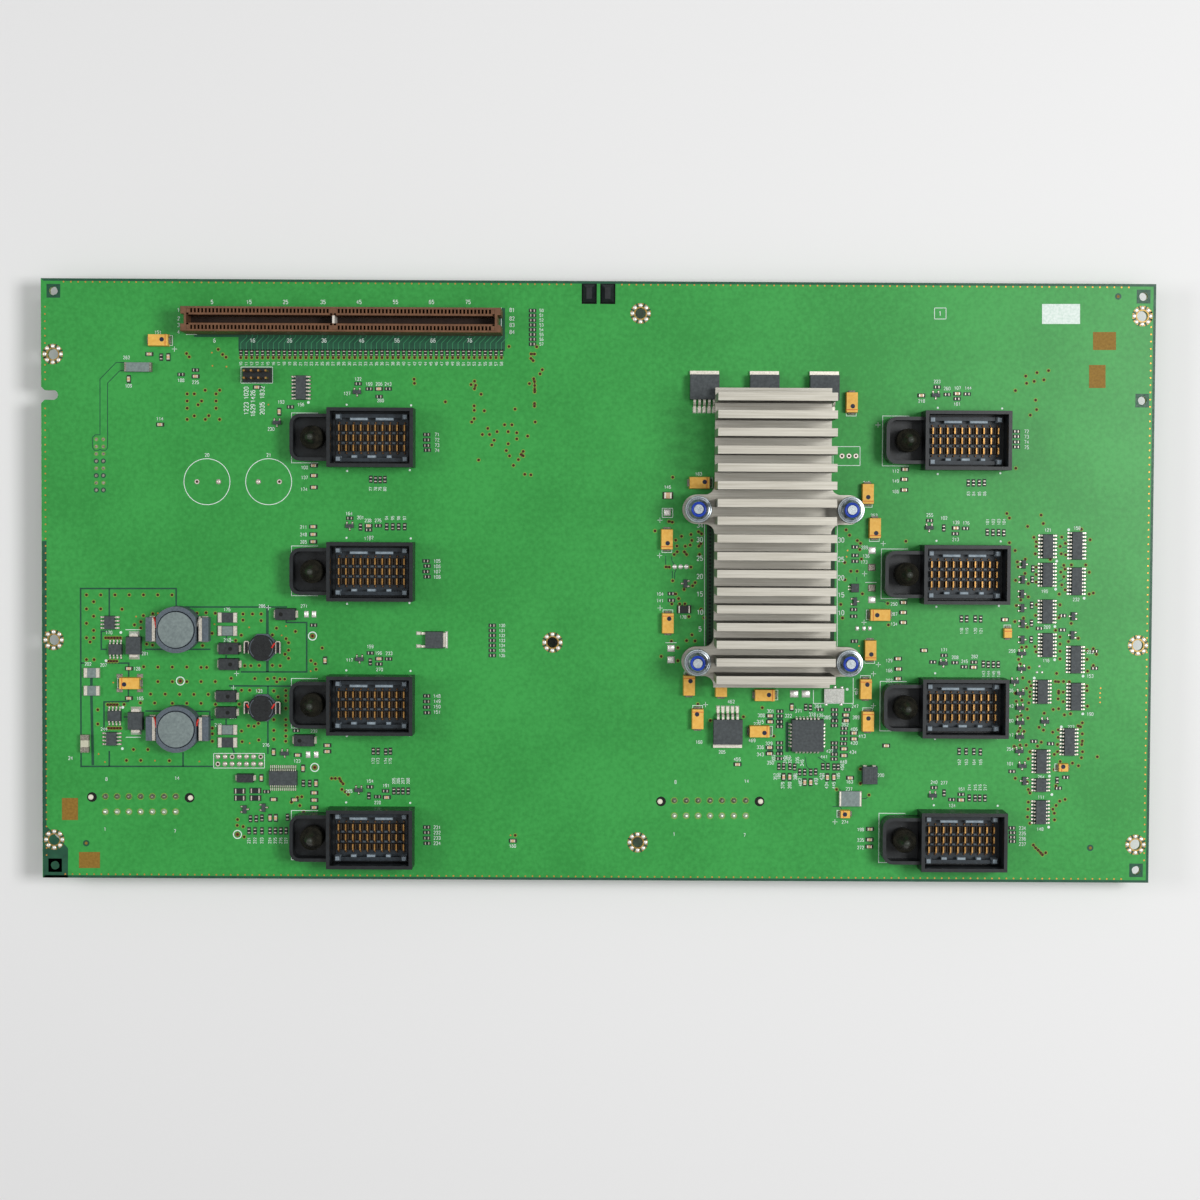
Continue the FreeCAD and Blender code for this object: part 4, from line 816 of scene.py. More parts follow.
DARK_TRACKS = [
    [(125, 362.5), (116, 362.6), (100, 379), (100, 434.8), (95.3, 434.8), (92.7, 437.3), (92.7, 447.8), (94.6, 450.3),
     (98.3, 450.3), (100, 449.2), (101.7, 450.3), (105.5, 450.3), (107.6, 448), (107.6, 383), (119.5, 371), (125, 370)],
    [(838.5, 788.5), (841, 790.5)], [(862, 798.5), (866, 798.5), (868.5, 796)],
    [(832.5, 806.5), (839, 806.2), (842, 809)],
    [(665.7, 556), (665.7, 566)], [(671.4, 556.5), (672, 561), (674.4, 565)], [(672.4, 571), (672.4, 580)],
    [(676.3, 569.5), (674.6, 573), (674.6, 580)], [(860.2, 592.2), (863.2, 593.5), (863.6, 596)],
    [(877.7, 601), (884, 601.5), (887.5, 604)], [(856.7, 577), (856.7, 581.5)], [(805, 757), (806.5, 766), (809, 769)],
    [(818, 757), (826, 762.5)], [(795, 706), (797, 711)],
    [(1060, 537.5), (1063, 539), (1066.5, 543)], [(1060.5, 547.5), (1067, 547.5)], [(1061.5, 553.5), (1066, 551)],
    [(1060, 567), (1064, 568), (1068, 567.5)], [(1058, 582), (1062, 580), (1064.5, 576)], [(1061, 588), (1066.5, 581)]]
BARE_PATCHES = [
    ((776.8, 717.5), (782.8, 720.5)), ((776.8, 723), (782.8, 725.5)), ((767.3, 717.6), (773, 720.6)),
    ((767, 749.3), (772.8, 752.3)), ((776.8, 749.2), (782.8, 752.2)), ((831.8, 716), (837.5, 719.5)),
    ((831.8, 749), (837.5, 752.5)), ((785.5, 722), (788.5, 752)), ((843.2, 717.1), (849, 719)),
    ((781, 775), (786.5, 779)), ((42, 541), (46.5, 826))]
CONNECTOR_FIELD = [(194, 333), (194, 337), (238.5, 337), (238.5, 351), (505, 351), (505, 308), (499.5, 308),
                   (499.5, 333)]
CORNER_FIELD = [(41.8, 826), (46.5, 826), (68, 848), (68, 877.5), (43.2, 877.6)]
LEFT_LEAD_SHADE, RIGHT_LEAD_SHADE, LEAD_SHADE_INSET, EDGE_BAND = 1.25, 0.85, 0.1, 0.9
bare = [stripe(on_board(path), width) for paths, width in (
    (PLANE_GAPS, GAP_WIDTH), (WIDE_GAPS, WIDE_GAP), (DARK_TRACKS, THIN_GAP)) for path in paths]
bare += [patch(on_board(rectangle(*pair))) for pair in BARE_PATCHES]
bare += [patch(on_board(field)) for field in (CONNECTOR_FIELD, CORNER_FIELD)]
# Painted shade beside the lead rows of the logic chips, wider at the left: dark fields in the bare colour
for low, high in zip(logic_low, logic_high):
    bottom, top = low[1] + LEAD_SHADE_INSET, high[1] - LEAD_SHADE_INSET
    bare.append(patch(rectangle((low[0] - LEFT_LEAD_SHADE, bottom), (low[0], top))))
    bare.append(patch(rectangle((high[0], bottom), (high[0] + RIGHT_LEAD_SHADE, top))))
outer = np.array(rectangle(BOARD_LOW[:2], BOARD_HIGH[:2]))
inner = outer + EDGE_BAND * np.sign(outer.mean(axis=0) - outer)
bare += [patch([outer[i], outer[i + 1], inner[i + 1], inner[i]]) for i in range(3)]
board_top = np.append(BOARD_HIGH[:2], FRONT + FIELD)
fields = [(np.clip(points, BOARD_LOW, board_top), faces) for points, faces in above(bare, FIELD)]
build("bare_laminate_and_lead_shade", fields, BARE_AND_SHADE, "board")
TERMINATORS = row((240.8, 353), (5.43, 0), 49)
FAN_PATH, FAN_WIDTH = [(0, 350.5), (0, 343), (6, 337), (6, 333.4)], 0.2
fan = [stripe(on_board(np.add(FAN_PATH, (x, 0))), FAN_WIDTH) for x in TERMINATORS[:, 0]]
build("terminator_tracks", above(fan, TRACKS), TRACK, "board")

# %% [markdown]
# A via is a drilled hole plated with copper. From above it is a small brown dot, the dark plated wall, in a thin
# yellowish rim where the lacquer is stretched over the edge of the hole.

# %% Vias


def from_crop(corner, zoom, places):
    """Photo pixels of places read in an enlarged crop: its corner plus each place over the zoom."""
    return [(round(corner[0] + x / zoom, 1), round(corner[1] + y / zoom, 1)) for x, y in places]


LEFT_VIAS = [
    (186.6, 353.5), (189.2, 356.9), (218.2, 349.4), (222.6, 354.5), (226, 357.2), (205.2, 390.2), (219.7, 390.2),
    (187.2, 393.9), (194.3, 393.9), (216.1, 393.9), (187.2, 401), (201.6, 401), (216.1, 401), (198.1, 404.8),
    (187.2, 408.2), (216.1, 408.2), (194.3, 415.9), (208.8, 415.7), (187.2, 419.4), (205.4, 419.4), (219.6, 419.4),
    (301.8, 796.7), (299.8, 805.5), (303.6, 811.5), (237.6, 819.5), (237.3, 825.4), (243.2, 826.6), (244.2, 836.8),
    (331.6, 778.4), (335.4, 778.4), (339.4, 778.4), (340.9, 781.2), (343.1, 783.8), (341.9, 789.4), (345.4, 791.8),
    (348.2, 794.4), (515.2, 835.3), (860.4, 769), (860.4, 783.5), (297.5, 797.5), (291.5, 802.2)]
MIDDLE_VIAS = from_crop((400, 345), 9.8, [
    (138, 335), (730, 355), (697, 388), (740, 395), (730, 428), (795, 482), (727, 597), (728, 640),
    (826, 645), (727, 722), (703, 755), (860, 817), (808, 877), (877, 877), (952, 850), (922, 933),
    (900, 980), (1025, 782), (1097, 782), (1060, 850), (1145, 860), (1145, 920), (1250, 893), (1060, 968),
    (1042, 1035), (1073, 1087), (1207, 1043), (1187, 1073), (1207, 1087), (1160, 1123), (1112, 1180),
    (770, 1127), (1223, 1267), (1283, 1273), (1128, 628), (1310, 330), (1318, 360), (1320, 397), (1320, 433),
    (1320, 460), (1268, 378), (1318, 572), (1318, 600), (1325, 755), (1395, 242), (1373, 283), (1285, 88),
    (1318, 88), (1283, 130), (1305, 153), (1068, 15), (1340, 18)
]) + [
    (414.5, 383.3), (445.4, 401.8)]
POWER_VIAS = from_crop((75, 585), 6.272, [
    (117, 105), (72, 150), (161, 150), (295, 152), (117, 196), (429, 192), (488, 180), (72, 240), (373, 250),
    (413, 230), (413, 270), (117, 285), (72, 331), (117, 331), (95, 357), (72, 468), (120, 468), (431, 513),
    (520, 515), (610, 515), (701, 515), (791, 517), (826, 517), (520, 606), (611, 606), (701, 606),
    (791, 606), (880, 606), (474, 684), (566, 684), (656, 686), (746, 686), (836, 686), (411, 739),
    (500, 740), (611, 742), (701, 742), (791, 742), (881, 748), (308, 749), (143, 782), (143, 872),
    (765, 177), (822, 174), (880, 177), (860, 303), (450, 370), (487, 377), (800, 380), (862, 898),
    (862, 933), (862, 980), (1054, 182), (1113, 182), (1168, 182), (1054, 220), (1168, 223), (1043, 315),
    (1008, 348), (1264, 271), (1383, 291), (1238, 313), (1324, 337), (1340, 362), (1340, 409), (1318, 434),
    (1340, 460), (1065, 507), (1103, 507), (1155, 505), (1238, 504), (1287, 507), (980, 585), (1128, 587),
    (1208, 589), (1250, 583), (1286, 590), (1315, 590), (1266, 607), (1044, 660), (1096, 660), (1152, 660),
    (1247, 664), (1322, 662), (1322, 694), (1322, 725), (1273, 702), (1322, 774), (1030, 748), (1044, 916),
    (1048, 983), (1153, 972), (1088, 884), (1124, 886), (1150, 868), (1247, 844), (1322, 844), (1322, 880),
    (1322, 912), (1247, 912), (1247, 968), (1322, 948), (1322, 980), (367, 1032), (457, 1032), (323, 1100),
    (413, 1100), (592, 1102), (1480, 475), (1507, 495), (1512, 529)
]) + [
    (322.2, 648)]
SINK_VIAS = from_crop((640, 470), 9.8, [
    (320, 72), (283, 505), (317, 512), (147, 597), (407, 650), (500, 632), (573, 605), (603, 625), (350, 688),
    (508, 690), (492, 735), (443, 747), (362, 745), (577, 747), (597, 720), (365, 802), (435, 802),
    (457, 828), (583, 828), (335, 828), (255, 950), (320, 1085), (540, 1103), (515, 1135), (432, 1170),
    (350, 1215), (378, 1260), (312, 1312), (388, 1312), (440, 1312), (478, 1437), (600, 1365), (628, 1447)
]) + from_crop((640, 620), 10.453, [
    (543, 155), (487, 215), (575, 218), (328, 222), (395, 290), (222, 380), (395, 425), (605, 880),
    (1082, 1012), (1278, 917), (735, 1050), (1397, 1215)
]) + from_crop((838, 480), 10.453, [
    (85, 522), (120, 577), (203, 633), (235, 663), (228, 727), (70, 862), (245, 827), (135, 953), (200, 953),
    (72, 1043), (28, 1300), (47, 1443), (710, 640), (527, 1515), (520, 1290), (255, 1190)
]) + [
    (669.3, 567.1), (690.9, 567.1), (836.6, 789.4), (869, 795)]
LOGIC_VIAS = from_crop((1012, 515), 9.8, [
    (153, 112), (307, 83), (30, 348), (215, 220), (237, 262), (237, 308), (228, 380), (487, 217), (522, 277),
    (472, 308), (482, 380), (525, 390), (680, 140), (765, 243), (375, 435), (508, 493), (582, 490),
    (518, 530), (478, 560), (722, 490), (757, 562), (508, 605), (487, 685), (520, 733), (463, 775),
    (797, 765), (757, 775), (130, 433), (52, 460), (60, 508), (127, 573), (35, 640), (160, 672), (237, 512),
    (237, 583), (237, 657), (160, 803), (85, 833), (42, 888), (240, 880), (470, 880), (230, 985), (460, 1005),
    (27, 1045), (113, 1010), (427, 1130), (150, 1100), (580, 1062), (470, 1195), (650, 1208), (553, 1240),
    (470, 1265), (225, 1290), (470, 1335), (235, 1340), (470, 1410), (95, 1298), (140, 1292), (65, 1415),
    (80, 1460), (167, 1495), (437, 1552), (735, 1325), (735, 1415), (797, 1310), (827, 1365), (797, 1475),
    (740, 1530)
]) + from_crop((1012, 665), 9.2235, [
    (100, 118), (160, 155), (175, 192), (165, 250), (165, 290), (155, 350), (135, 215), (30, 260), (40, 335),
    (90, 325), (140, 408), (50, 478), (85, 465), (147, 490), (75, 580), (60, 612), (110, 612), (75, 740),
    (130, 740), (20, 750), (165, 800), (430, 155), (400, 152), (475, 152), (528, 155), (430, 240), (430, 262),
    (472, 250), (425, 312), (472, 338), (380, 410), (430, 403), (483, 460), (540, 450), (690, 195),
    (692, 235), (695, 380), (297, 445), (290, 600), (250, 575), (375, 620), (427, 598), (425, 668),
    (420, 733), (420, 800), (648, 533), (610, 562), (633, 570), (648, 635), (648, 700), (643, 733),
    (650, 800), (640, 855), (390, 825), (445, 890), (390, 965), (557, 905), (612, 930), (787, 847),
    (235, 748), (270, 712), (140, 1080), (150, 1148), (165, 1180), (150, 1265), (147, 1330), (143, 1402),
    (165, 1460), (377, 1330), (390, 1367), (392, 1428), (407, 1295), (440, 1255), (490, 1240), (405, 1115),
    (30, 1045), (150, 865)
]) + [
    (1025.7, 376.1), (1037, 372.7), (1048.5, 370.6), (1026.6, 383.3), (1034.2, 381.3), (1043.9, 379.9),
    (1015.4, 390.6), (1035.6, 400.1), (1036.6, 409.6), (1030.3, 415.1), (1015.8, 468.2), (1006.9, 513.5),
    (1009.4, 518), (1041.1, 515.1), (1009.4, 542.8), (1033.3, 845), (1035.6, 847.8), (1038.2, 850.2),
    (1040.6, 852.7), (1042.4, 854.8), (1045.7, 852.7)]
small_vias = np.concatenate([
    LEFT_VIAS, MIDDLE_VIAS, POWER_VIAS, SINK_VIAS, LOGIC_VIAS, row((86.5, 594.9), (14.25, 0), 7),
    row((105.6, 637.8), (2.96, 0), 6), row((108.2, 661.2), (2.87, 0), 4), row((107.7, 704.6), (3.2, 0), 4),
    row((108.5, 728.2), (2.97, 0), 5), TERMINATORS + [0, 4.7]])
via_places = on_board(small_vias)
film("via_rims", annulus(0.5, 0.78, 12), via_places, TRACKS, VIA_RIM, "board")
film("via_collars", annulus(0.4, 0.53, 12), via_places, PADS, VIA_COLLAR)
film("via_walls", disc(0.42), via_places, HOLES, VIA_WALL)
FAINT_VIAS = from_crop((75, 585), 6.272, [
    (384, 198), (520, 177), (240, 612), (875, 246), (1093, 265), (1324, 258), (1296, 316), (1478, 540),
    (1096, 992), (502, 1102), (780, 1107), (188, 1110), (148, 1060)
]) + [
    (211.9, 352.6), (212.5, 365.8), (226.5, 366.7), (268.4, 404.6), (1100.6, 688.1), (1100, 693),
    (1100, 697.5), (1100, 702.4), (847.6, 550.5), (846.6, 556.7), (859, 646), (510.6, 835.3)]
EDGE_STEP, EDGE_END, NEAR_EDGE = 2.54, 8, 3
NOTCH_Y, NOTCH_CLEAR, CLIP_CLEAR = 121.4, 3.5, 8
edge_x = np.arange(BOARD_LOW[0] + EDGE_END, BOARD_HIGH[0] - EDGE_END, EDGE_STEP)
edge_y = np.arange(BOARD_LOW[1] + EDGE_END, BOARD_HIGH[1] - EDGE_END, EDGE_STEP)
edge_vias = np.array([(x, y) for y in (BOARD_LOW[1] + 1.3, BOARD_HIGH[1] - 1.2) for x in edge_x]
                     + [(x, y) for x in (BOARD_LOW[0] + 1.4, BOARD_HIGH[0] - 1.6) for y in edge_y])
at_clip = (edge_vias[:, 1] > BOARD_HIGH[1] - NEAR_EDGE) & (np.abs(edge_vias[:, 0]) < CLIP_CLEAR)
at_notch = (edge_vias[:, 0] < BOARD_LOW[0] + NEAR_EDGE) & (np.abs(edge_vias[:, 1] - NOTCH_Y) < NOTCH_CLEAR)
faint_places = np.concatenate([on_board(FAINT_VIAS), edge_vias[~(at_clip | at_notch)]])
film("faint_vias", disc(0.3, 10), faint_places, HOLES, COPPER_GOLD)

# %% [markdown]
# Screws earth the board to its chassis through plated holes. Each has a gold land, and eight dots of solder on it
# that the screw head bites into. The small tooling holes stand in bare squares, and gold dots let the placing
# machine find the board.

# %% Mounting holes, tooling holes and gold marks
MOUNT_PLACES = [(-191.1, 135.7), (-191.1, 35.3), (-191.1, -35.3), (15.0, 151.0), (-15.4, 35.3), (15.0, -35.3),
                (191.1, 151.0), (191.1, 35.3), (191.1, -35.3)]
TOOLING_INSET = 4.4
TOOLING_PLACES = rectangle(BOARD_LOW[:2] + TOOLING_INSET, BOARD_HIGH[:2] - TOOLING_INSET) + [(191.4, NOTCH_Y)]
MOUNT_HOLE, TOOLING_HOLE, LAND_RADIUS, BARE_SQUARE = 1.9, 1.5, 3.6, 2.4
DOT_COUNT, DOT_RING, HALF_STEP, ROUND = 8, 2.85, np.pi / 8, 32
mounts = np.array(MOUNT_PLACES)[:, None]
hole_dots = (mounts + circle(DOT_RING, DOT_COUNT)).reshape(-1, 2)
gap_places = (mounts + circle(DOT_RING, DOT_COUNT, HALF_STEP)).reshape(-1, 2)
gap_turns = np.tile(np.degrees((2 * np.arange(DOT_COUNT) + 1) * HALF_STEP), len(MOUNT_PLACES))
film("hole_lands", annulus(MOUNT_HOLE, LAND_RADIUS), MOUNT_PLACES, PADS, LAND_GOLD)
build("hole_solder_dots", [stamp(turned([(0.72, 0.0), (0.6, 0.16), (0.3, 0.24)], 12), hole_dots, z=FRONT + PADS)],
      SOLDER, "tinned_metal", 60)
land_gaps = stamp(patch(rectangle((-0.5, -0.32), (0.85, 0.32))), gap_places, gap_turns, z=FRONT + HOLES)
square = np.repeat(circle(BARE_SQUARE * np.sqrt(2), 4, np.pi / 4), ROUND // 4, axis=0)
rims = np.roll(square, ROUND // 8, axis=0), circle(TOOLING_HOLE, ROUND, np.radians(5.6))
tooling_field = loft(np.stack([at_height(rim) for rim in rims]), capped=False)
FIDUCIALS = [(182.5, 157.8), (-179.8, -36.5), (175.1, -36.5)]
build("hole_bare_fields", [land_gaps, stamp(tooling_field, TOOLING_PLACES, z=FRONT + FIELD),
                           stamp(annulus(0.5, 1.15), FIDUCIALS, z=FRONT + FIELD)], BARE_AND_SHADE, "board")
GOLD_FIELDS = [((1093, 332), (1116, 350)), ((1089, 365), (1105.5, 388)), ((62, 798), (78, 820)),
               ((79, 852), (100, 868))]
gold_fields = [patch(on_board(rectangle(*pair))) for pair in GOLD_FIELDS]
build("gold_marks", above(gold_fields, PADS) + [stamp(disc(0.5), FIDUCIALS, z=FRONT + PADS)], MARK_GOLD, "gold_contact")

# %% [markdown]
# Chip resistors and capacitors are the smallest parts. A resistor is a black glaze on white ceramic, a capacitor
# a block of fired tan ceramic. Both end in tinned caps, and a fillet of solder, dark because it slopes away from the
# light, joins each cap to its pad. Round each chip lies a small dark field of painted shade.

# %% Chip resistors and capacitors
RESISTORS_FLAT = [
    (180.9, 374.4), (195.3, 370), (290.3, 406.9), (358, 383.7), (369, 388.8), (388, 388.8),
    (379, 396.5), (426.6, 434.5), (426.6, 439.9), (426.6, 445.5), (427.3, 450.1), (349.6, 518.2), (368.4, 529.9),
    (378.2, 525.7), (425.9, 561), (427, 566), (425.9, 571.6), (427, 576.8), (313.4, 625.2), (370.2, 653.1),
    (378.9, 664.1), (388.5, 659), (426.6, 696), (426.6, 701.6), (426.6, 707.2), (427, 712.8), (296.1, 730.7),
    (266.4, 791.8), (369.9, 787), (385.4, 791.1), (377.5, 796.8), (426.6, 827.3), (426.6, 832.6), (426.6, 838.2),
    (427, 843.4), (937.3, 387), (947.3, 394.5), (967.3, 394), (957.2, 398.8), (1016.6, 431.4), (1016.6, 436.4),
    (1016.6, 441.9), (1016.6, 446.9), (929.7, 520.5), (965.7, 528.4), (955.4, 533.7), (944.2, 655.4), (933, 662.1),
    (955.2, 662.7), (964.3, 666.9), (974.2, 662.2), (934.2, 787.7), (961.3, 794.5), (951.9, 799.7), (1012.1, 828.1),
    (1012.5, 832.8), (1012.5, 837.3), (1012.5, 841.5), (1039.6, 628.5), (1063, 615.7), (1062.5, 630), (1094.9, 651.4),
    (1094.7, 668.3), (1034.1, 741.4), (1050.8, 743.8), (1012.2, 771.5), (1065.9, 777.4), (1058.4, 788.3),
    (671.3, 593.7), (671.3, 600.4), (855.2, 547), (855.2, 555.4), (855.2, 561.3), (853.8, 609.6), (853.8, 616.3),
    (854.5, 641.3),
    (779.9, 711.3), (779.9, 716.1), (779.6, 721.8), (779.6, 726.6), (779.6, 742.9), (779.6, 747.6), (779.6, 753.7),
    (779.6, 758.7), (820.1, 709.7), (834.7, 709.9), (847.4, 709.7), (834.7, 714.4), (834.7, 720.9), (834.4, 725.6),
    (844.3, 728.5), (844, 733.1), (844, 739), (843.5, 743.8), (834.4, 743.1), (834.4, 747.4), (834.4, 754.4),
    (834.2, 759.1)]
RESISTORS_UPRIGHT = [
    (161, 357), (370.7, 479.2), (375.5, 479.7), (380.1, 479.7), (384.8, 479.5),
    (360.4, 527), (386.6, 526.7), (392.7, 526.7), (398.6, 526.7), (404.6, 526.7), (370.2, 662), (373.3, 751.4),
    (378, 751.4), (385.7, 751.8), (390.3, 751.4), (303.2, 783.5), (309.6, 783.5), (250.3, 818.8), (256.1, 818.8),
    (261.8, 818.1), (287.4, 817.4), (248.9, 831), (254.9, 831), (261.8, 831), (269.9, 831), (275.2, 831), (280.7, 831),
    (286, 831), (368.8, 796), (393.8, 791.2), (398.3, 791.2), (402.9, 791.2), (408.1, 791.2), (968.5, 482.9),
    (973.6, 482.9), (979.4, 482.9), (984.5, 482.7), (943.9, 528), (987.5, 532.3), (993.2, 532.6), (998.8, 532.6),
    (1004, 532.9), (961.5, 618.9), (966.9, 618.9), (975.4, 618.9), (980.9, 619.1), (983.5, 664.2), (988.4, 664.6),
    (993.6, 664.6), (998.4, 664.6), (959.3, 751.5), (966.3, 751.5), (974, 751.7), (980.5, 752.1), (944.2, 793.1),
    (969.4, 798), (975.3, 798.3), (979.9, 798.3), (985.1, 798.3), (1033.1, 568.9), (1032.4, 579.5), (1031.9, 605.3),
    (1031.7, 623.2), (1031.4, 639.7), (1057.3, 780.5), (805.9, 707.5), (810.5, 707.7), (779, 766.6), (783.7, 766.6),
    (790, 766.6), (794.7, 767.2), (799.8, 772.3), (804.8, 772.3), (810.8, 772.3), (815.8, 772), (823, 766.6),
    (828, 766.6), (834.2, 767.1), (838.3, 767.1)]
CAPACITORS_FLAT = [
    (195.3, 376.3), (256.7, 387.2), (378.7, 388.8), (313.6, 465.4), (313.6, 475.6), (313.6, 487.3), (313, 526.7),
    (313, 534.4), (313, 541.7), (368.4, 525.7), (378.9, 658.8), (327.1, 745.5), (327.1, 751.6), (297.5, 755.2),
    (273.4, 799.6), (294.5, 799.9), (314.1, 792.9), (314.1, 800.2), (314.1, 807.6), (386.6, 797.5), (921.5, 395.4),
    (957.5, 393.6), (905.1, 469.4), (904.5, 479.4), (904.5, 490), (956, 528), (903.6, 602.5), (903.3, 612.5),
    (903.3, 622.5), (1005.1, 619.7), (924.2, 650.5), (898.2, 658.8), (898.5, 669.1), (898.2, 678.8), (973.8, 667.3),
    (886.4, 745.8), (961.3, 800.1), (870.1, 829.3), (869.7, 839.8), (869.4, 846.8), (850.2, 778), (770.1, 715.9),
    (770.1, 721.8), (769.6, 747.6), (769.6, 753.7), (846.1, 715.1), (846.1, 720.7), (854.1, 733.1), (854.1, 739),
    (844, 748.9), (844, 755.6), (737.6, 764.5), (512.7, 841), (128.6, 668.6), (128.6, 698.3), (149, 354),
    (159.8, 424.5)]
CAPACITORS_UPRIGHT = [
    (279.1, 411.7), (324.9, 660.6), (273.4, 752.3), (302.9, 768.6), (261.2, 778.2), (315.9, 783.5), (269.9, 818.1),
    (275.5, 818.1), (791.9, 707.3), (783.7, 777.1), (789.8, 777.1), (804.8, 782.4), (810.8, 782.4), (827.5, 777.4),
    (834, 777.4), (168, 357), (128.4, 379)]
LARGE_RESISTORS = [(239.5, 791.2), (255.2, 790.8), (239.7, 798.2), (255.2, 798.2)]
SQUARE_CAPACITOR, BLACK_CHIP = [(668, 495.5)], [(684.2, 609.4)]


def chip(length, width, height, end):
    """A chip part along x: its body, its two metal caps, and the two mounds of solder that reach past them."""
    reach = 0.36
    body = slab(length - end, width, height, 0.06)
    caps = [shift(slab(end, width + 0.05, height + 0.05, 0.1), side * (length - end) / 2) for side in (-1, 1)]
    mounds = [shift(foot(reach + end / 2, width + 0.16, 0.62 * height), side * (length / 2 + reach / 2 - end / 4))
              for side in (-1, 1)]
    return body, join(caps), join(mounds)


# Painted shade: a dark field is laid round each chip, in the bare colour
ceramic, glaze, cap_ends, mounds, shade_fields = [], [], [], [], []
# Sizes are length, width, height and the width of an end, in mm
RESISTOR, CAPACITOR, TERMINATOR = (1.6, 0.85, 0.5, 0.42), (1.8, 1.0, 0.8, 0.5), (1.5, 0.8, 0.45, 0.4)
CONNECTOR_ROW, MIDDLE_ROW = row((532.5, 310.5), (0, 4.8), 8), row((492.2, 625.5), (0, 5.0), 7)
for spots, turn, size, bodies_of in (
        (RESISTORS_FLAT, RIGHT_SIDE, RESISTOR, glaze), (RESISTORS_UPRIGHT, UP, RESISTOR, glaze),
        (TERMINATORS, UP, TERMINATOR, glaze), (CONNECTOR_ROW, RIGHT_SIDE, RESISTOR, glaze),
        (MIDDLE_ROW, RIGHT_SIDE, RESISTOR, glaze), (LARGE_RESISTORS, RIGHT_SIDE, (3.2, 1.6, 0.6, 0.5), glaze),
        (BLACK_CHIP, RIGHT_SIDE, (4.0, 2.5, 1.6, 0.5), glaze),
        (SQUARE_CAPACITOR, RIGHT_SIDE, (2.7, 2.1, 1.3, 0.75), ceramic),
        (CAPACITORS_FLAT, RIGHT_SIDE, CAPACITOR, ceramic), (CAPACITORS_UPRIGHT, UP, CAPACITOR, ceramic)):
    body, caps, solder = chip(*size)
    places = on_board(spots, size[2])
    bodies_of.append(stamp(body, places, turn))
    cap_ends.append(stamp(caps, places, turn))
    mounds.append(stamp(solder, places, turn))
    half = np.array([size[0] / 2 + 0.55, size[1] / 2 + 0.25])
    shade_fields.append(stamp(patch(rectangle(-half, half)), places, turn, z=FRONT + FIELD))
build("chip_resistor_bodies", glaze, RESISTOR_GLASS, "epoxy_black")
build("chip_capacitor_bodies", ceramic, CERAMIC_TAN, "ceramic_grey")
build("chip_end_caps", cap_ends, TIN, "tinned_metal")
build("chip_solder", mounds, FILLET, "tinned_metal")
build("chip_painted_shade", shade_fields, BARE_AND_SHADE, "board")

# %% [markdown]
# The small transistors have three legs: one on one side and two on the other. The same gull-wing lead serves.

# %% Small transistors
LEGS_UP, LEGS_LEFT, LEGS_RIGHT = 180, 270, 90
TRANSISTORS = {
    LEGS_UP: [(276.8, 422.6), (357, 392), (349.6, 526), (359.4, 659.2), (284.6, 753.5), (358.6, 790.1), (936, 395.1),
              (929.4, 527.7), (943.6, 663.3), (932.8, 795.6), (1022, 653.5), (1021.7, 668.9), (1014.8, 681.8),
              (1020.6, 693.3), (1020.3, 707.9), (1020.3, 722.8), (1019.9, 736.9), (1019.4, 751.2), (1022.4, 766),
              (1045, 721.7)],
    LEGS_LEFT: [(244.6, 809.4), (263.6, 807.6), (855.2, 601.5), (1023.9, 564.4), (1023, 579.5), (1022.2, 594),
                (1022.4, 608.1), (1022.8, 623.7), (1022.5, 639.7)],
    LEGS_RIGHT: [(685.4, 583.6), (1024.4, 781), (1073.2, 616.3), (1072.5, 635.2)]}
transistor_turns = np.repeat(list(TRANSISTORS), [len(spots) for spots in TRANSISTORS.values()])
transistor_places = on_board(np.concatenate(list(TRANSISTORS.values())), 0.6)
small_body = shift(slab(2.9, 1.35, 0.95, 0.12), z=0.08)
leg_spots = np.array([(-0.95, -0.65), (0.95, -0.65), (0.0, 0.65)])
legs = stamp(gull(0.75, 0.55, 0.42, 0.15), leg_spots, [DOWN, DOWN, UP], z=0.0)
leg_feet = stamp(foot(0.85, 0.7, 0.12), leg_spots + np.array([(0, -0.6), (0, -0.6), (0, 0.6)]), UP, z=0.0)
sensor_place = on_board([(855, 588)], 0.8)
sensor_leads = stamp(gull(0.95, 0.6, 0.42, 0.15), sensor_place + [(-1.4, 0.5), (-1.4, -0.5)], LEFT_SIDE)
build("small_transistor_bodies", [stamp(small_body, transistor_places, transistor_turns),
                                  stamp(slab(2.8, 3.0, 1.3, 0.15), sensor_place)], EPOXY, "epoxy_black")
build("small_transistor_legs", [stamp(legs, transistor_places, transistor_turns), sensor_leads], TIN, "tinned_metal")
build("small_transistor_solder", [stamp(leg_feet, transistor_places, transistor_turns)], FILLET, "tinned_metal")

# %% [markdown]
# Tantalum capacitors have a flat terminal folded under each end. A printed orange band and a navy dot mark the
# end that must be positive, and a bracket of ink on the board shows where it goes. The dots are dabbed on by hand,
# so they do not all sit alike.

# %% Tantalum terminals and marks
BAND_INSET, BAND_MARGIN, BAND_WIDTH, BRACKET_OUT, SHORT_BODY = 1.1, 0.1, 0.3, 1.0, 4
DOT_SHIFTS = [(2.3, 0.2), (2.0, -0.4), (2.5, 0.0), (1.9, 0.3)]
PLUS_TURNS = [DOWN, UP, DOWN, DOWN, DOWN, UP, UP, UP, DOWN, UP, UP, RIGHT_SIDE, RIGHT_SIDE, RIGHT_SIDE, LEFT_SIDE,
              LEFT_SIDE, RIGHT_SIDE, LEFT_SIDE, LEFT_SIDE, UP]
yellow_low, yellow_high = bodies("yellow_tantalums")
black_low, black_high = bodies("black_tantalums")
yellow_size, yellow_mid = yellow_high - yellow_low, middle(yellow_low, yellow_high)
black_size, black_mid = black_high - black_low, middle(black_low, black_high)


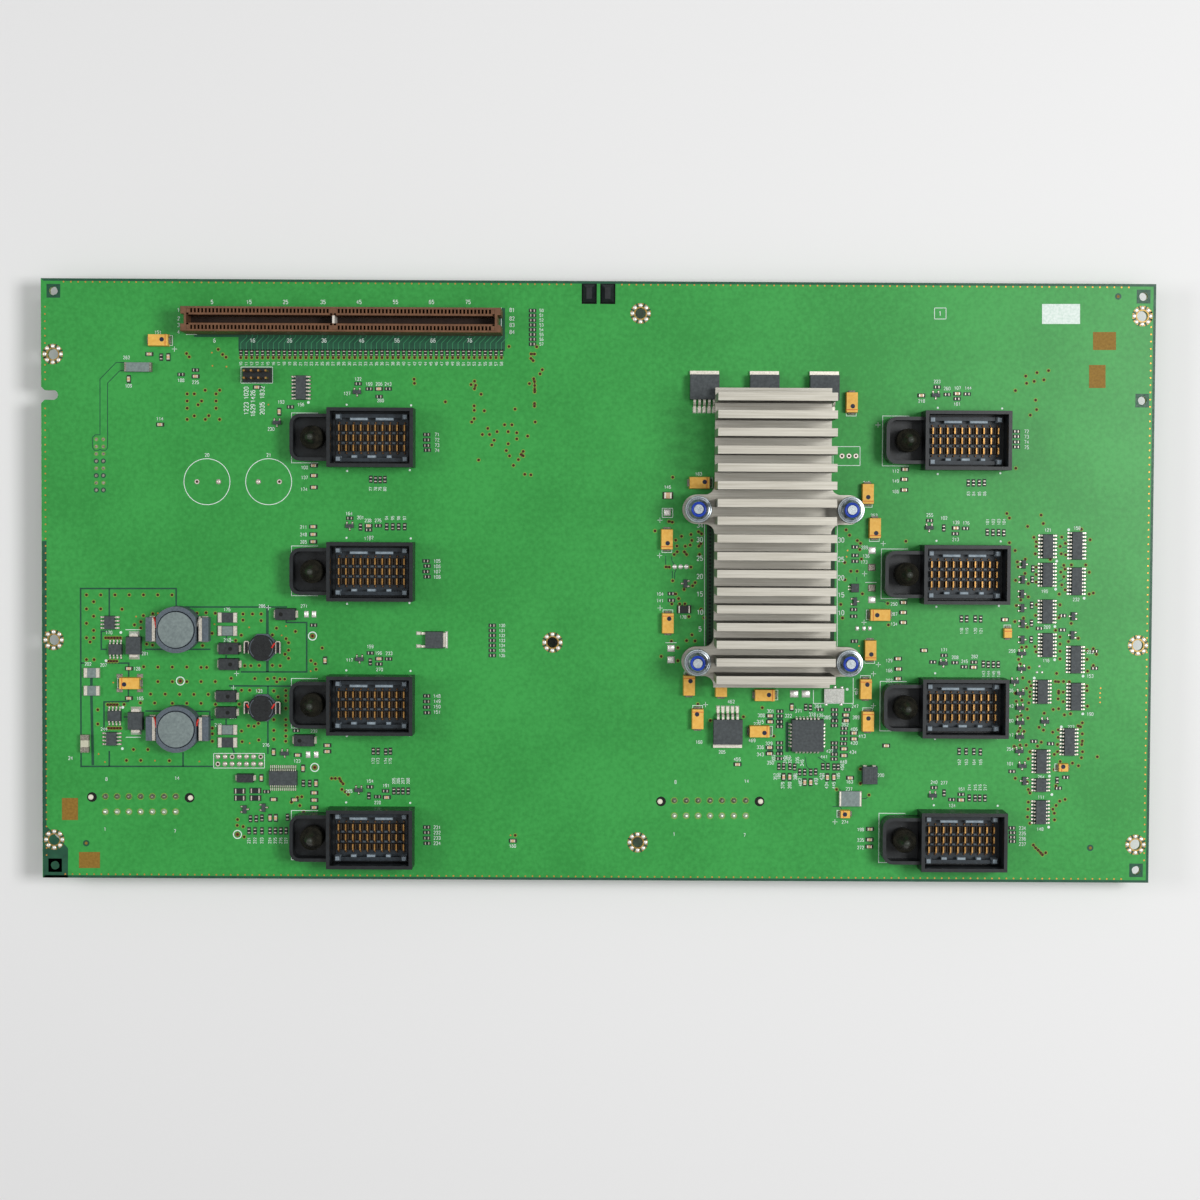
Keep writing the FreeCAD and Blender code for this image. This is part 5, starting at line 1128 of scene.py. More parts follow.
def terminals_of(size, spot, turn):
    """Both terminals of a capacitor: an arm bent down the end and a fillet at its foot, and the same half a turn on."""
    end, breadth, height = size[:2].max() / 2, size[:2].min(), size[2]
    arm = strip([(end - 0.1, 0.55 * height), (end + 0.12, 0.5 * height), (end + 0.16, 0.2), (end + 0.5, 0.1)],
                0.55 * breadth, 0.14)
    pad = shift(foot(0.8, 0.6 * breadth, 0.25), end + 0.25)
    return stamp(join([arm, pad]), [spot] * 2, [turn, turn + 180])


bands, dots, brackets = [], [], []
for size, spot, turn in zip(yellow_size, yellow_mid, PLUS_TURNS):
    end, half, top = size[:2].max() / 2, size[:2].min() / 2, FRONT + size[2]
    band = stripe([(end - BAND_INSET, BAND_MARGIN - half), (end - BAND_INSET, half - BAND_MARGIN)], BAND_WIDTH)
    bands.append(stamp(band, [spot], turn, z=top + 0.012))
    bracket = stripe([(end, -0.8 * half), (end + BRACKET_OUT, -0.8 * half), (end + BRACKET_OUT, 0.8 * half),
                      (end, 0.8 * half)], 0.2)
    brackets.append(stamp(bracket, [spot], turn, z=FRONT + PRINT))
    if 2 * end > SHORT_BODY or size[0] > size[1]:
        inset, aside = DOT_SHIFTS[len(dots) % len(DOT_SHIFTS)]
        dots.append(stamp(shift(disc(0.8, 16), end - min(inset, 0.9 * end), aside), [spot], turn, z=top + 0.02))
for name, parts, material in (
        ("tantalum_terminals", zip(yellow_size, yellow_mid, PLUS_TURNS), DULL_TIN),
        ("black_tantalum_terminals", zip(black_size, black_mid, [RIGHT_SIDE] * len(black_mid)), TIN)):
    build(name, [terminals_of(*part) for part in parts], material, "tinned_metal")
build("tantalum_brackets", brackets, INK, "board")
build("tantalum_bands", bands, TANTALUM_BAND, "tantalum_yellow")
build("tantalum_dots", dots, NAVY_DOT, "tantalum_yellow")
DOT_FROM_END, DOT_ASIDE = 2.2, 0.7
dark_spots = [(black_low[i, 0] + DOT_FROM_END, black_mid[i, 1]) for i in (0, 5)]
dark_spots += [(black_mid[i, 0] + DOT_ASIDE, black_mid[i, 1]) for i in (1, 2, 3, 4)]
build("black_tantalum_dots", [stamp(disc(0.72, 16), dark_spots, z=FRONT + black_size[0, 2] + 0.02)], HOLE_DARK,
      "tantalum_black")

# %% [markdown]
# The regulators have five legs that come out level with the middle of the case. The big metal tab on the other
# side is soldered flat, to carry off heat. The pass transistor is the same idea with two legs.

# %% Regulator and transistor legs
reg_low, reg_high = bodies("regulator_bodies")
REG_STEP, REG_LEGS, PASS_HALF = 1.7, 5, 2.28
reg_leg = gull(4.3, 2.4, 0.85, 0.5)
reg_edges = [*reg_low[:3, 1], reg_high[3, 1]]
reg_places = [(x + along, y) for x, y in zip(middle(reg_low, reg_high)[:, 0], reg_edges)
              for along in centred(REG_LEGS, REG_STEP)]
reg_turns = np.repeat([DOWN, DOWN, DOWN, UP], REG_LEGS)
pass_low, pass_high = (corner[0] for corner in bodies("pass_transistor"))
pass_mid = middle(pass_low, pass_high)
pass_places = [(pass_low[0], pass_mid[1] + side * PASS_HALF) for side in (-1, 1)]
build("regulator_legs", [stamp(reg_leg, reg_places, reg_turns),
                         stamp(gull(2.9, 1.1, 0.8, 0.45), pass_places, LEFT_SIDE),
                         stamp(shift(slab(1.1, 5.2, 0.9, 0.15), 0.3), [(pass_high[0], pass_mid[1])])],
      TIN, "tinned_metal")
build("regulator_solder", [stamp(shift(foot(2.2, 1.3, 0.35), 3.6), reg_places, reg_turns),
                           stamp(shift(foot(1.6, 1.3, 0.4), 2.4), pass_places, LEFT_SIDE),
                           stamp(foot(1.0, 6.0, 0.3), [(pass_high[0] + 1.0, pass_mid[1])])], SOLDER, "tinned_metal")

# %% [markdown]
# The clock driver is a square chip whose leads bend inwards under its body like a letter J, seven on each side.

# %% Clock driver
clock_low, clock_high = (corner[0] for corner in bodies("clock_driver"))
clock_mid, J_STEP, J_COUNT = middle(clock_low, clock_high), 1.27, 7
j_lead = strip([(-0.2, 2.1), (0.28, 2.0), (0.4, 1.7), (0.42, 0.5), (0.3, 0.15), (-0.1, 0.12)], 0.6, 0.2)
j_along = centred(J_COUNT, J_STEP)
j_half = (clock_high - clock_low)[0] / 2
j_places, j_turns = [], []
for turn in (RIGHT_SIDE, UP, LEFT_SIDE, DOWN):
    angle = np.radians(turn)
    out, across = np.array([np.cos(angle), np.sin(angle)]), np.array([-np.sin(angle), np.cos(angle)])
    j_places.append(clock_mid + j_half * out + j_along[:, None] * across)
    j_turns.append(np.full(J_COUNT, turn))
j_places, j_turns = np.concatenate(j_places), np.concatenate(j_turns)
build("clock_driver_leads", [stamp(j_lead, j_places, j_turns)], TIN, "tinned_metal")
build("clock_driver_solder", [stamp(shift(foot(0.6, 0.6, 0.25), 0.5), j_places, j_turns)], SOLDER, "tinned_metal")

# %% [markdown]
# The large chokes are drum cores in a ferrite ring. The copper winding, in red enamel, comes out at both sides and
# is soldered to a tinned strip on each terminal block. The drum's ground face is paler than its pressed sides.

# %% Choke faces, strips and wire ends
block_low, block_high = bodies("choke_terminals")
large_mid = middle(block_low[[0, 2]], block_high[[1, 3]])
small_mid = middle(block_low[[4, 6]], block_high[[5, 7]])
block_top, small_top = block_high[0, 2], block_high[4, 2]
drum_top = box("choke_drums")[1, 2]
drum_face = turned([(6.3, -0.25), (6.2, 0.02), (5.9, 0.1), (0.2, 0.12)], 48)
build("choke_faces", [stamp(drum_face, large_mid, z=drum_top)], DRUM_FACE, "ferrite", 30)
strip_x = (block_high[0, 0] - large_mid[0, 0]) - 0.65
tin_strip = slab(1.25, 8.3, 0.35, 0.12)
strip_spots = [(x + side * strip_x, y) for x, y in large_mid for side in (-1, 1)]
block_ends = [(x + side * (strip_x - 1.0), y + end * 4.25) for x, y in large_mid for side in (-1, 1) for end in (-1, 1)]
LOOP_HEIGHT = 5.1
loop = [(0.75, -2.1), (0.75, 1.8), (0.55, 2.1), (-0.55, 2.1), (-0.75, 1.8), (-0.75, -2.1)]
small_loop = wire(at_height(loop, LOOP_HEIGHT), 0.28, 6)
small_spots = [(x + side * 5.5, y) for x, y in small_mid for side in (-1, 1)]
lead_out = wire([(6.75, 1.0, 6.6), (7.4, 2.6, 7.3), (7.95, 4.3, 7.75), (8.3, 4.6, 7.7)], 0.34)
right_tip = wire([(3.7, 0.0, 5.2), (4.2, 0.9, 5.2), (4.75, 1.7, 5.1)], 0.3)
left_tip = wire([(-5.1, 1.5, 5.1), (-4.8, 0.9, 5.15), (-4.4, 0.3, 5.1)], 0.3)
build("choke_strips", [stamp(tin_strip, strip_spots, z=block_top - 0.1),
                       stamp(slab(2.3, 0.7, 1.6, 0.2), block_ends, z=FRONT),
                       stamp(lead_out, large_mid[:1], z=0.0), stamp(small_loop, small_spots, z=0.0)],
      TIN, "tinned_metal")
red_out = wire([(-6.95, 0.6, 8.6), (-7.15, 2.0, 9.0), (-7.4, 3.4, 8.6), (-7.9, 4.1, 7.7)], 0.38)
red_back = wire([(6.95, 1.2, 8.4), (7.2, 2.4, 8.6), (7.55, 3.5, 8.0)], 0.34)
build("choke_wire_ends", [stamp(red_out, large_mid, z=0.0), stamp(red_back, large_mid[1:], z=0.0),
                          stamp(right_tip, small_mid), stamp(left_tip, small_mid[1:])], RED_ENAMEL, "ferrite", 60)
SMALL_DRUM_TOP = FRONT + 5.0
build("small_choke_clips", [stamp(slab(1.0, 3.7, 0.3, 0.1), small_spots, z=small_top - 0.1)], COIL_BLACK, "ferrite")
build("small_choke_faces", [stamp(turned([(4.55, -0.7), (4.6, -0.1), (4.45, 0.05), (0.2, 0.06)], 40), small_mid,
                                  z=SMALL_DRUM_TOP)], COIL_BLACK, "ferrite", 30)
# Painted highlight: pale arcs at the left and right rims of each small drum
arc = np.radians(np.linspace(-48, 48, 13))
highlight_arc = stripe(4.0 * np.column_stack([np.cos(arc), np.sin(arc)]), 0.2)
edges = [stamp(highlight_arc, small_mid, side, z=SMALL_DRUM_TOP + 0.08) for side in (RIGHT_SIDE, LEFT_SIDE)]
build("small_choke_painted_highlights", edges, FERRITE, "ferrite")

# %% [markdown]
# The line choke at the lower right is a coil dipped in black resin. Two tinned ends show at its upper side.

# %% Line choke
line_low, line_high = (corner[0] for corner in bodies("choke_shields", 1))
line_mid, line_size = middle(line_low, line_high), line_high - line_low
build("line_choke_cover", [stamp(slab(*(line_size + [0.06, 0.06, 0.04]), 0.35), [line_mid]),
                           stamp(slab(0.9, line_size[1] - 1.2, 0.12, 0.05), [line_mid + [x, 0] for x in (-1.6, 0, 1.6)],
                                 z=line_high[2])], EPOXY, "ferrite")
line_ends = [line_mid + [x, line_size[1] / 2 + 0.15] for x in (-1.75, 1.5)]
build("line_choke_ends", [stamp(slab(1.3, 0.5, 2.8, 0.15), line_ends)], TIN, "tinned_metal")

# %% [markdown]
# Sense resistors, filter chips, beads and the fuse are larger chips with metal ends, and the rectifiers have broad
# feet in solder. Caps of tin are set over the ends of their bodies.

# %% Ends of the larger chips
FOOT_OFFSET = 4.0


def end_caps(node, reach, along):
    """A cap over both ends of every block of a node; along is the long axis."""
    caps = []
    for low, high in zip(*bodies(node)):
        size, mid = high - low, middle(low, high)
        cap = slab(reach, size[1 - along] + 0.1, size[2] + 0.06, 0.15)
        move = np.eye(2)[along] * (size[along] - reach + 0.1) / 2
        caps.append(stamp(cap, [mid - move, mid + move], (RIGHT_SIDE, UP)[along]))
    return caps


bead_caps = end_caps("ferrite_beads", 0.8, 0)
capped = end_caps("sense_resistors", 1.5, 0) + end_caps("filter_chips", 1.4, 0) + bead_caps[1:]
sense_low, sense_high = bodies("sense_resistors")
pale = np.argsort(sense_low[:, 1])[1:3]
sense_size = sense_high[0] - sense_low[0]
pale_top = slab(sense_size[0] - 3.1, sense_size[1] - 0.3, 0.05, 0.02)
pale_mid = middle(sense_low, sense_high)[pale]
build("sense_resistor_tops", [stamp(pale_top, pale_mid, z=sense_high[0, 2])], CERAMIC_GREY, "ceramic_grey")
diode_mid = middle(*bodies("rectifier_diodes"))
diode_feet = [(x, y + side * FOOT_OFFSET) for x, y in diode_mid for side in (-1, 1)]
build("large_chip_caps", capped, TIN, "tinned_metal")
build("dull_chip_caps", end_caps("line_fuse", 2.0, 1) + bead_caps[:1], DULL_TIN, "tinned_metal")
build("diode_solder", [stamp(foot(3.7, 1.9, 0.9), diode_feet)], SOLDER, "tinned_metal")

# %% [markdown]
# The power headers sit behind the board. Their tails come through it and end in cones of solder in two rows of
# seven, and a moulded peg shows in a larger hole at each end of the upper row. Behind, a square pin stands in each
# well of the header.

# %% Header tails and open holes
LEFT_TAILS = np.concatenate([row((105.5, 796.4), (11.73, 0), 7), row((105.5, 811.7), (11.73, 0), 7)])
RIGHT_TAILS = np.concatenate([row((674.3, 800.5), (11.9, 0), 7), row((674.3, 815.7), (11.9, 0), 7)])
PEGS = [(92, 797), (189.6, 797.7), (661, 801.4), (759.5, 801.4)]
tail_places = on_board(np.concatenate([LEFT_TAILS, RIGHT_TAILS]))
peg_places = on_board(PEGS)
tail_cone = turned([(0.95, 0.0), (0.75, 0.28), (0.45, 0.7), (0.38, 1.2), (0.15, 1.3)], 14)
upper_row = np.arange(len(tail_places)) % 14 < 7
build("header_tails", [stamp(tail_cone, tail_places[~upper_row])], SOLDER, "tinned_metal", 50)
build("header_tails_dull", [stamp(tail_cone, tail_places[upper_row])], DULL_TIN, "tinned_metal", 50)
film("header_tail_lands", annulus(0.95, 1.25, 20), tail_places, PADS, VIA_RIM)
peg_lean = np.array([(-0.35, 0.0), (0.35, 0.0)] * 2)
build("header_pegs", [stamp(turned([(0.95, 0.0), (0.9, 0.5), (0.6, 0.75), (0.2, 0.8)], 20), peg_places + peg_lean)],
      IVORY_NYLON, "ivory_nylon", 40)
film("header_peg_holes", disc(1.75), peg_places, HOLES, HOLE_DARK, "board")
PIN_STEP, PIN_ROW, PIN_COUNT = 4.2, 5.5, 7
pin = turned([(0.3, -10.6), (0.6, -10.0), (0.6, -0.3)], 4)
header_mid = [middle(*box(node)) for node in ("left_power_header", "right_power_header")]
pin_places = [mid + [x, y] for mid in header_mid for x in centred(PIN_COUNT, PIN_STEP) for y in centred(2, PIN_ROW)]
build("header_pins", [stamp(pin, pin_places, 45, z=0.0)], TIN, "tinned_metal")
COLUMN_PADS = np.concatenate([row((96.3, 439.3), (0, 7.25), 8), row((103.4, 439.3), (0, 7.25), 8)])
FILLED_PADS = np.concatenate([row((217.9, 756.7), (7.14, 0), 2), row((239.3, 756.7), (7.14, 0), 3),
                              row((225, 764), (7.14, 0), 6), [(218.5, 481.7), (258.3, 481.7)]])
EMPTY_PADS = np.concatenate([[(232.2, 756.7), (260.7, 756.7), (217.9, 764), (197, 481.7), (279.4, 481.7)],
                             row((842, 456), (7, 0), 3)])
parted_rows = np.tile(np.isin(np.arange(8), (3, 5, 7)), 2)
filled, empty, column = (on_board(pads) for pads in (FILLED_PADS, EMPTY_PADS, COLUMN_PADS))
build("filled_pads", [stamp(turned([(0.72, 0.0), (0.62, 0.1), (0.3, 0.12)], 14), filled, z=FRONT + PADS),
                      stamp(annulus(0.45, 0.78), empty, z=FRONT + PADS)], TIN, "tinned_metal", 60)
build("dull_pad_rings", [stamp(annulus(0.7, 0.92), np.concatenate([filled, empty]), z=FRONT + TRACKS),
                         stamp(disc(0.5), column, z=FRONT + PADS)], DULL_TIN, "tinned_metal")
film("open_pad_holes", disc(0.47), empty, HOLES, VIA_WALL)
film("column_pad_rims", annulus(0.5, 0.75, 20), column[~parted_rows], TRACKS, VIA_RIM)
film("column_pad_gaps", annulus(0.5, 0.9, 20), column[parted_rows], TRACKS, BARE_AND_SHADE, "board")
# Lands that were left without a part: wide ones as width and height in mm, then drops and small ones
BARE_LANDS = [
    (2.7, 2.5, [(671.1, 648.3), (671.1, 659.8), (667.5, 512.5), (872, 550.4), (871.8, 599.8)]),
    (3.0, 2.6, [(794.1, 693.9), (805.9, 693.9)]),
    (1.7, 2.4, [(306.4, 614.2), (314, 614.2), (308.1, 754.6), (316.2, 754.6)]),
    (0.9, 0.9, [(1039.3, 666.3), (1036.8, 672.3), (1042, 672.3)]),
    (1.2, 1.0, [(826.1, 704.4), (841, 704.4), (834.9, 687.2), (841.8, 687.7)]),
    (1.3, 1.6, [(857.1, 628.4), (863.9, 628.4), (869.8, 628.4)])]
ROUND_LANDS = [(674.8, 566.8), (680.7, 566.8), (686.5, 566.8)]
build("bare_lands", [stamp(foot(wide, high, 0.3), on_board(spots)) for wide, high, spots in BARE_LANDS]
      + [stamp(turned([(0.85, 0.0), (0.65, 0.2), (0.25, 0.3)], 16), on_board(ROUND_LANDS))], SOLDER, "tinned_metal", 50)
build("dull_lands", [stamp(foot(2.2, 1.5, 0.15), on_board(rectangle((119.6, 675.9), (140, 690.2)))),
                     stamp(foot(2.7, 2.5, 0.3), on_board([(871.7, 567.4), (871.7, 588)]))], DULL_TIN, "tinned_metal")

# %% [markdown]
# The ink is screen-printed: outlines that show where a part goes, a dot at its first pin, plus signs at the
# positive ends, and small numbers. The numbers here are plain counters.

# %% Printed numbers
FIGURES = {
    0: [[(0, 0.4), (0, 1.6), (0.3, 2), (0.7, 2), (1, 1.6), (1, 0.4), (0.7, 0), (0.3, 0), (0, 0.4)]],
    1: [[(0.15, 1.5), (0.6, 2)], [(0.6, 2), (0.6, 0)]],
    2: [[(0, 1.6), (0.3, 2), (0.7, 2), (1, 1.6), (0.95, 1.2), (0, 0)], [(0, 0), (1, 0)]],
    3: [[(0, 1.7), (0.3, 2), (0.7, 2), (1, 1.6), (0.9, 1.2), (0.4, 1.05)],
        [(0.4, 1.05), (0.9, 0.9), (1, 0.4), (0.7, 0), (0.3, 0), (0, 0.3)]],
    4: [[(0.75, 0), (0.75, 2)], [(0.75, 2), (0, 0.6)], [(0, 0.6), (1.1, 0.6)]],
    5: [[(0.95, 2), (0.1, 2), (0.05, 1.1), (0.6, 1.25), (1, 0.95), (1, 0.4), (0.7, 0), (0.3, 0), (0, 0.3)]],
    6: [[(0.9, 1.8), (0.6, 2), (0.2, 1.8), (0, 1.2), (0, 0.4), (0.3, 0), (0.7, 0), (1, 0.4), (1, 0.8), (0.7, 1.15),
         (0.3, 1.15), (0, 0.8)]],
    7: [[(0, 2), (1, 2)], [(1, 2), (0.4, 0)]],
    8: [[(0.5, 1.05), (0.05, 1.35), (0.05, 1.7), (0.3, 2), (0.7, 2), (0.95, 1.7), (0.95, 1.35), (0.5, 1.05), (0, 0.7),
         (0, 0.3), (0.3, 0), (0.7, 0), (1, 0.3), (1, 0.7), (0.5, 1.05)]],
    9: [[(1, 1.2), (0.7, 0.85), (0.3, 0.85), (0, 1.2), (0, 1.6), (0.3, 2), (0.7, 2), (1, 1.6), (1, 0.8), (0.8, 0.2),
         (0.4, 0), (0.1, 0.2)]]}


def number(value, height):
    """A number as printed strokes, centred: each figure is half as wide as it is high."""
    wide, step, thick = 0.5 * height, 0.76 * height, 0.15 * height
    start = -((len(str(value)) - 1) * step + wide) / 2
    return join([stripe(np.array(stroke) * [wide, height / 2] + [start + place * step, -height / 2], thick)
                 for place, figure in enumerate(str(value)) for stroke in FIGURES[int(figure)]])


def printed(first, pixels, height=1.15, turn=0, step=1):
    """Running numbers at photo pixels."""
    return [stamp(number(first + i * step, height), [place], turn, z=FRONT + PRINT)
            for i, place in enumerate(on_board(pixels))]


def level(y, *columns):
    """Photo pixels side by side at one height."""
    return [(x, y) for x in columns]


marks = printed(5, level(302, 212, 249, 285.5, 323, 359, 395.5, 431.5, 468), 1.3, step=10)
marks += printed(6, level(340.5, 214.5, 252.5, 289.5, 324, 361.5, 397, 433, 469.5), 1.3, step=10)
for first, x in ((1, 178.5), (81, 512)):
    marks += printed(first, [(x, y) for y in (310, 318.5, 325, 332)], 1.25)
marks += printed(10, TERMINATORS + [0, 10.8], 0.95, UP)
marks += printed(50, CONNECTOR_ROW + [9, 0], 1.0)
marks += printed(130, MIDDLE_ROW + [9.8, 0], 1.0)
SOCKET_NUMBERS = [(71, (437, 434.5)), (105, (437, 561)), (148, (437, 696)), (231, (437, 827.3)), (72, (1026.5, 431.4)),
                  (234, (1022.3, 828.1))]
for first, pixels in SOCKET_NUMBERS:
    marks += printed(first, row(pixels, (0, 5.3), 4), 1.15)
# Each row is its first number, its height in the photo and its places along it
UPRIGHT_ROWS = [
    (77, 489, (370.7, 375.5, 380.1, 384.8)), (83, 493.6, (968.5, 973.6, 979.4, 984.5)),
    (94, 518, (386.6, 392.7, 398.6, 404.6)), (101, 522, (987.5, 993.2, 998.8, 1004)),
    (172, 761, (373.3, 378, 385.7, 390.3)), (205, 781, (393.8, 398.3, 402.9, 408.1)),
    (118, 631, (961.5, 966.9, 975.4, 980.9)), (143, 674, (983.5, 988.4, 993.6, 998.4)),
    (162, 762.4, (959.3, 966.3, 974, 980.5)), (214, 787.5, (969.4, 975.3, 979.9, 985.1)),
    (221, 840.6, (248.9, 254.9, 261.8, 269.9, 275.2, 280.7, 286))]
for first, y, columns in UPRIGHT_ROWS:
    marks += printed(first, level(y, *columns), 1.0, UP)
CLOCK_ROW = [(779, 776), (794.7, 776), (799.8, 781), (815.8, 781), (823, 776), (838.3, 776)]
marks += printed(180, CLOCK_ROW, 1.0, UP)
ROW_NUMBERS = [(34, 700, 525.1), (30, 699.7, 539.6), (25, 699.7, 558.3), (20, 699.7, 576.4), (15, 699.7, 594),
               (10, 700, 612.1),
               (5, 700, 629), (30, 841, 540), (25, 841, 559.4), (20, 841, 577.8), (15, 841, 594.8), (10, 841, 612.7),
               (1, 940, 313.4)]
SMALL_NUMBERS = [(8, 106.5, 779), (14, 177, 778), (1, 105, 829), (7, 175, 831), (8, 675.5, 782), (14, 746.5, 781),
                 (1, 674, 834), (7, 744.5, 835), (20, 207, 455), (21, 268.7, 455), (24, 70.5, 758)]
for numbers, height in ((ROW_NUMBERS, 1.6), (SMALL_NUMBERS, 1.15)):
    for value, x, y in numbers:
        marks += printed(value, [(x, y)], height)
LABELS = [
    (304.5, 467.5), (304.5, 477.5), (304, 489.3), (303.5, 527), (303.5, 534.5), (303.5, 542), (358, 379), (369, 384),
    (379, 384), (388, 384), (380.5, 400.5), (347, 393.5), (349, 513.5), (360.4, 517.5), (368, 520.5), (378, 520.5),
    (370, 537.5), (370.2, 646.5), (378.5, 653), (389, 653.3), (379.5, 669.5), (349.5, 660), (370, 781), (386, 785.5),
    (377.5, 802.5), (349, 791), (895.5, 471), (895.5, 481), (895.5, 491.5), (937, 381.5), (947, 388.5), (957.5, 388),
    (968, 388), (957, 404), (921.5, 401), (929.7, 515), (943.9, 518), (956, 522.5), (966, 523), (955.5, 539.5),
    (894, 604),
    (894, 614), (894, 624), (944, 649.8), (955, 657.3), (964.5, 661.3), (974.5, 656.5), (889, 660.5), (889, 670.5),
    (889, 680.5), (934, 782.2), (944, 782.8), (952, 805.5), (961.5, 789), (860.5, 829.5), (860.5, 840), (860.5, 847.5),
    (367.5, 538.5), (300.8, 404.5), (281, 402), (271, 429), (294.5, 420), (159.8, 418.8), (158, 332.3), (181, 380.3),
    (195.5, 382.3), (126.5, 357.5), (128.5, 385.8), (667.5, 487), (698.5, 474), (666.5, 533), (668, 633), (660, 594),
    (660, 600.6), (683, 617), (866.5, 483), (874, 515.5), (864.5, 547.5), (866, 556), (864, 562), (870, 640),
    (855, 706.2),
    (868.5, 641), (689, 677), (699, 742), (722, 752), (765.5, 685), (757, 724), (820, 715.3), (849.5, 781.7),
    (880.7, 775.2),
    (849, 789), (845, 822), (1047.8, 530), (1077, 528), (1044.5, 591.3), (1076, 599.5), (1047, 627), (1046, 660.5),
    (1090, 676),
    (1090, 714), (1071, 727), (1041, 777), (1041, 797), (1040, 829), (1060, 765.5), (1090, 652), (1012, 651),
    (1010, 690.5),
    (1010, 706), (1010, 720.7), (1010, 735), (1010, 749), (1010, 763.7), (441, 645.5), (227, 609.5), (227, 640),
    (218, 725),
    (262, 606), (259, 691), (109, 632.5), (103.5, 665), (104, 729), (145, 653.5), (137, 668.7), (140, 698.3), (88, 664),
    (314, 731), (266, 745), (297, 761), (512.6, 845.9), (233, 648), (233, 717), (304, 606)]
LABEL_FIRST, LABEL_STRIDE, LABEL_RANGE = 100, 37, 190
for i, place in enumerate(LABELS):
    marks += printed(LABEL_FIRST + (LABEL_STRIDE * i) % LABEL_RANGE, [place], 1.1)
CLOCK_FLAT = [
    (770.4, 711.1), (761.2, 715.4), (760.2, 721.7), (788.3, 715.7), (768.9, 743.5), (760.2, 747.2), (760.2, 754.4),
    (770.4, 762.6), (787.2, 757.5), (817.9, 706.2), (798.5, 710.8), (812.2, 714.5), (827, 717.4), (844.9, 724.6),
    (856, 717.4),
    (854.1, 729.2), (862, 736.1), (854, 743), (829.6, 751.1), (852.9, 752.1), (824, 756.7), (843.3, 761.8),
    (737.2, 759.3),
    (731.1, 701.6), (752, 740.4)]
CLOCK_UPRIGHT = [
    (773.5, 758), (784.9, 760.3), (789.8, 760.3), (797.4, 760.3), (802, 762.9), (775.3, 776.6), (795.4, 776.6),
    (782.7, 785.3), (789.6, 785.3), (800.5, 782.8), (816.3, 781.7), (821.4, 776.6), (826.5, 785.3), (833.7, 785.3),
    (842.3, 767),
    (856.3, 691.6)]
HEADER_MARKS = [(246.2, 393), (246.2, 408.5), (252.9, 396.4), (252.9, 410.4), (262.2, 392.5), (262.2, 408.5)]
marks += printed(301, CLOCK_FLAT, 1.15, step=7) + printed(302, CLOCK_UPRIGHT, 1.1, UP, 11)
marks += printed(1020, HEADER_MARKS, 1.5, UP, 203)
build("printed_numbers", marks, INK, "board")

# %% [markdown]
# Outlines, dots and signs follow. The plain white block at the upper right is a field kept free for a label.

# %% Printed outlines, dots and signs
LINE = 0.22
BRACKET_REACH, BRACKET_OFF, BRACKET_HALF, SOCKET_HALF = 9, 0.35, 8.75, 15.0
cup_bracket = stripe([(BRACKET_REACH, BRACKET_HALF), (-BRACKET_OFF, BRACKET_HALF), (-BRACKET_OFF, -BRACKET_HALF),
                      (BRACKET_REACH, -BRACKET_HALF)], LINE)
socket_y = SOCKET_BOX[:, :, 1].mean(axis=1)
outlines = [stamp(cup_bracket, np.column_stack([SOCKET_BOX[:, 0, 0], socket_y]), z=0.0)]
OUTLINE_BOXES = [((241.0, 367), (272.6, 383.1)), ((662.2, 508.3), (672.7, 517.4)), ((833, 446.6), (860, 465.5)),
                 ((213.7, 753.4), (264.5, 768)), ((934.5, 308), (946, 319))]
for low, high in OUTLINE_BOXES:
    outlines += frame_line(low, high, LINE)
PRINTED_LINES = [[(186, 334.4), (197, 334.4)], [(334, 334.4), (341, 334.4)], [(501.3, 307.6), (501.3, 335.2)],
                 [(665.5, 642.7), (676.5, 642.7)], [(865.2, 582.4), (876.7, 582.4)],
                 [(853.2, 678), (853.2, 703.4), (813.4, 703.4), (813.4, 690)], [(125.5, 629.7), (140.6, 629.7)],
                 [(125.8, 737.2), (141, 737.2)],
                 [(704.5, 515), (704.5, 650)], [(837.2, 515), (837.2, 650)]]
outlines += [stripe(on_board(path), LINE) for path in PRINTED_LINES]
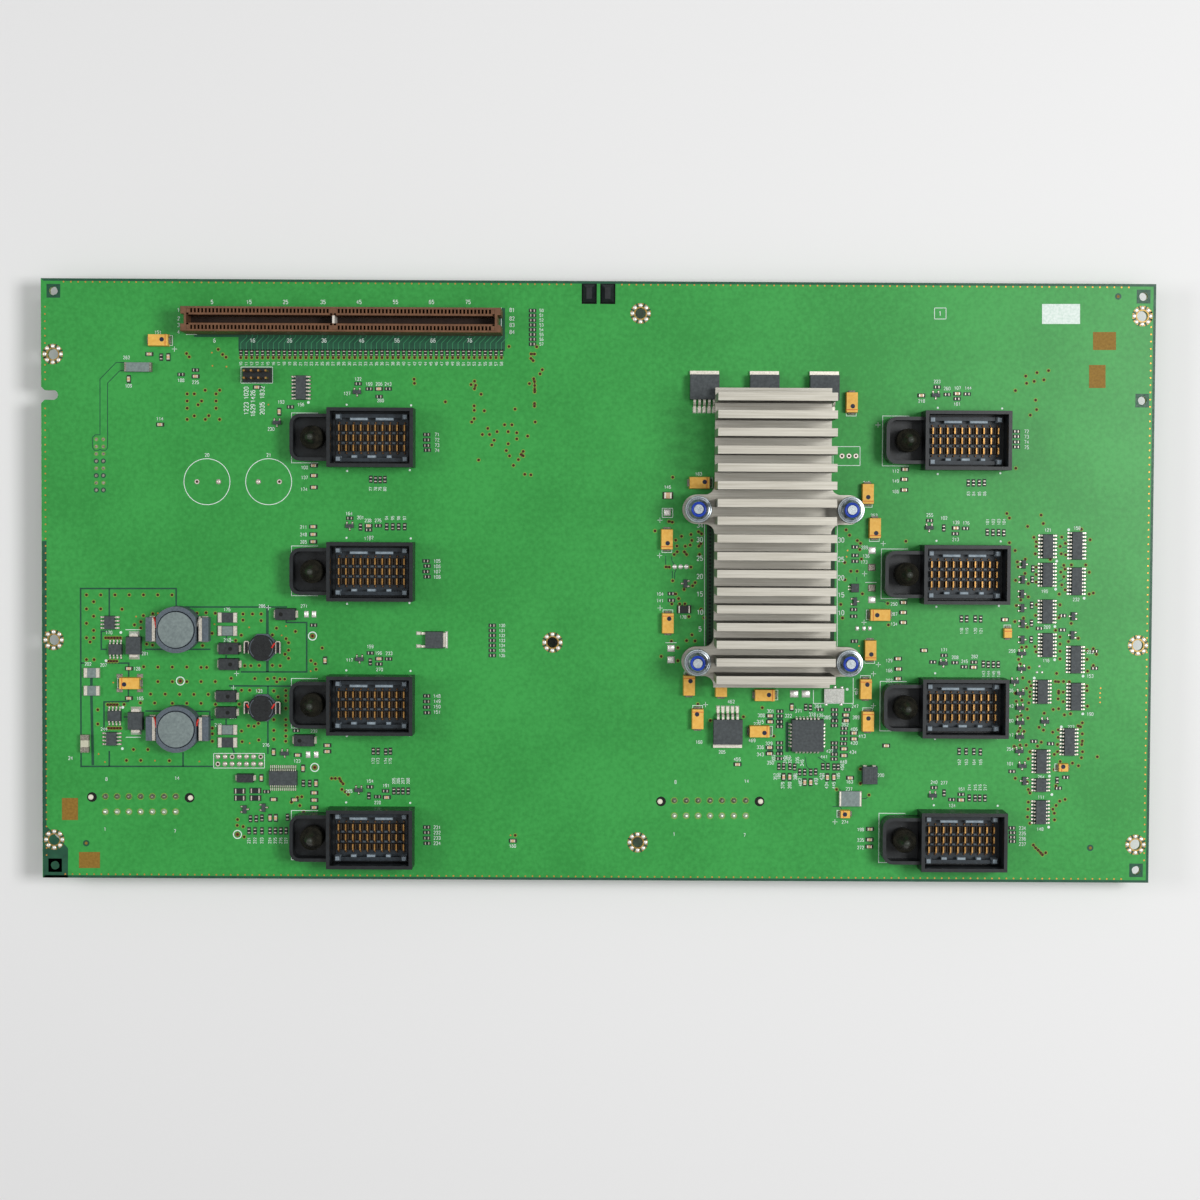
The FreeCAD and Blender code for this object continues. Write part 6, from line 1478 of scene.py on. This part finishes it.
circle_spots = on_board([(207, 481.7), (268.7, 481.7)])
outlines.append(stamp(annulus(7.95, 8.2, 64), circle_spots, z=0.0))
test_spots = on_board([(312.5, 636), (180.4, 681), (314.7, 767.4), (237.5, 834.4)])
outlines.append(stamp(annulus(1.24, 1.6, 28), test_spots, z=0.0))
PLUS_SIGNS = [(659.9, 520.2), (659.6, 555.5), (660.1, 608), (705.5, 704.7), (883.2, 543.6), (864.5, 573.8),
              (864, 622.3), (174.5, 349), (268.3, 607.7), (230.6, 640.2), (236.6, 673.6), (233.5, 688),
              (878, 425), (873.4, 705.7), (834.9, 821.8), (878.3, 664.6), (873.4, 673.8)]
plus = join([stripe([(-0.9, 0), (0.9, 0)], 0.8 * LINE), stripe([(0, -0.9), (0, 0.9)], 0.8 * LINE)])
outlines.append(stamp(plus, on_board(PLUS_SIGNS), z=0.0))
PIN_DOTS = [
    (1056.6, 561.1), (1068.6, 529.8), (1055.6, 589.2), (1084.1, 598.2), (1054.9, 626.5), (1054.6, 659.7), (1034.2, 678),
    (1083, 676.1), (1082.7, 713.8), (1061.3, 726.8), (1049.4, 776.1), (1051.8, 794.6), (1048.6, 827.1), (308.4, 402.4),
    (120.9, 632.4), (106.1, 660.7), (122.8, 707.3), (122.4, 748.6), (847.2, 689.3)]
corner_dots = np.array([(-9.2, 11.7), (13.4, 11.6), (-9.0, -11.5), (13.0, -11.1)])
socket_mid = np.column_stack([SOCKET_BOX[:, 1, 0] - SOCKET_HALF, socket_y])
outlines.append(stamp(disc(0.5), on_board(PIN_DOTS), z=0.0))
outlines.append(stamp(disc(0.38), (socket_mid[:, None] + corner_dots).reshape(-1, 2), z=0.0))
LABEL_FIELD = (1042, 304), (1080, 324)
outlines.append(patch(on_board(rectangle(*LABEL_FIELD))))
build("printed_outlines", above(outlines, PRINT), INK, "board")
film("test_pads", annulus(0.4, 0.82, 20), test_spots, PADS, VIA_COLLAR)
film("test_holes", disc(0.42), test_spots, HOLES, VIA_WALL)
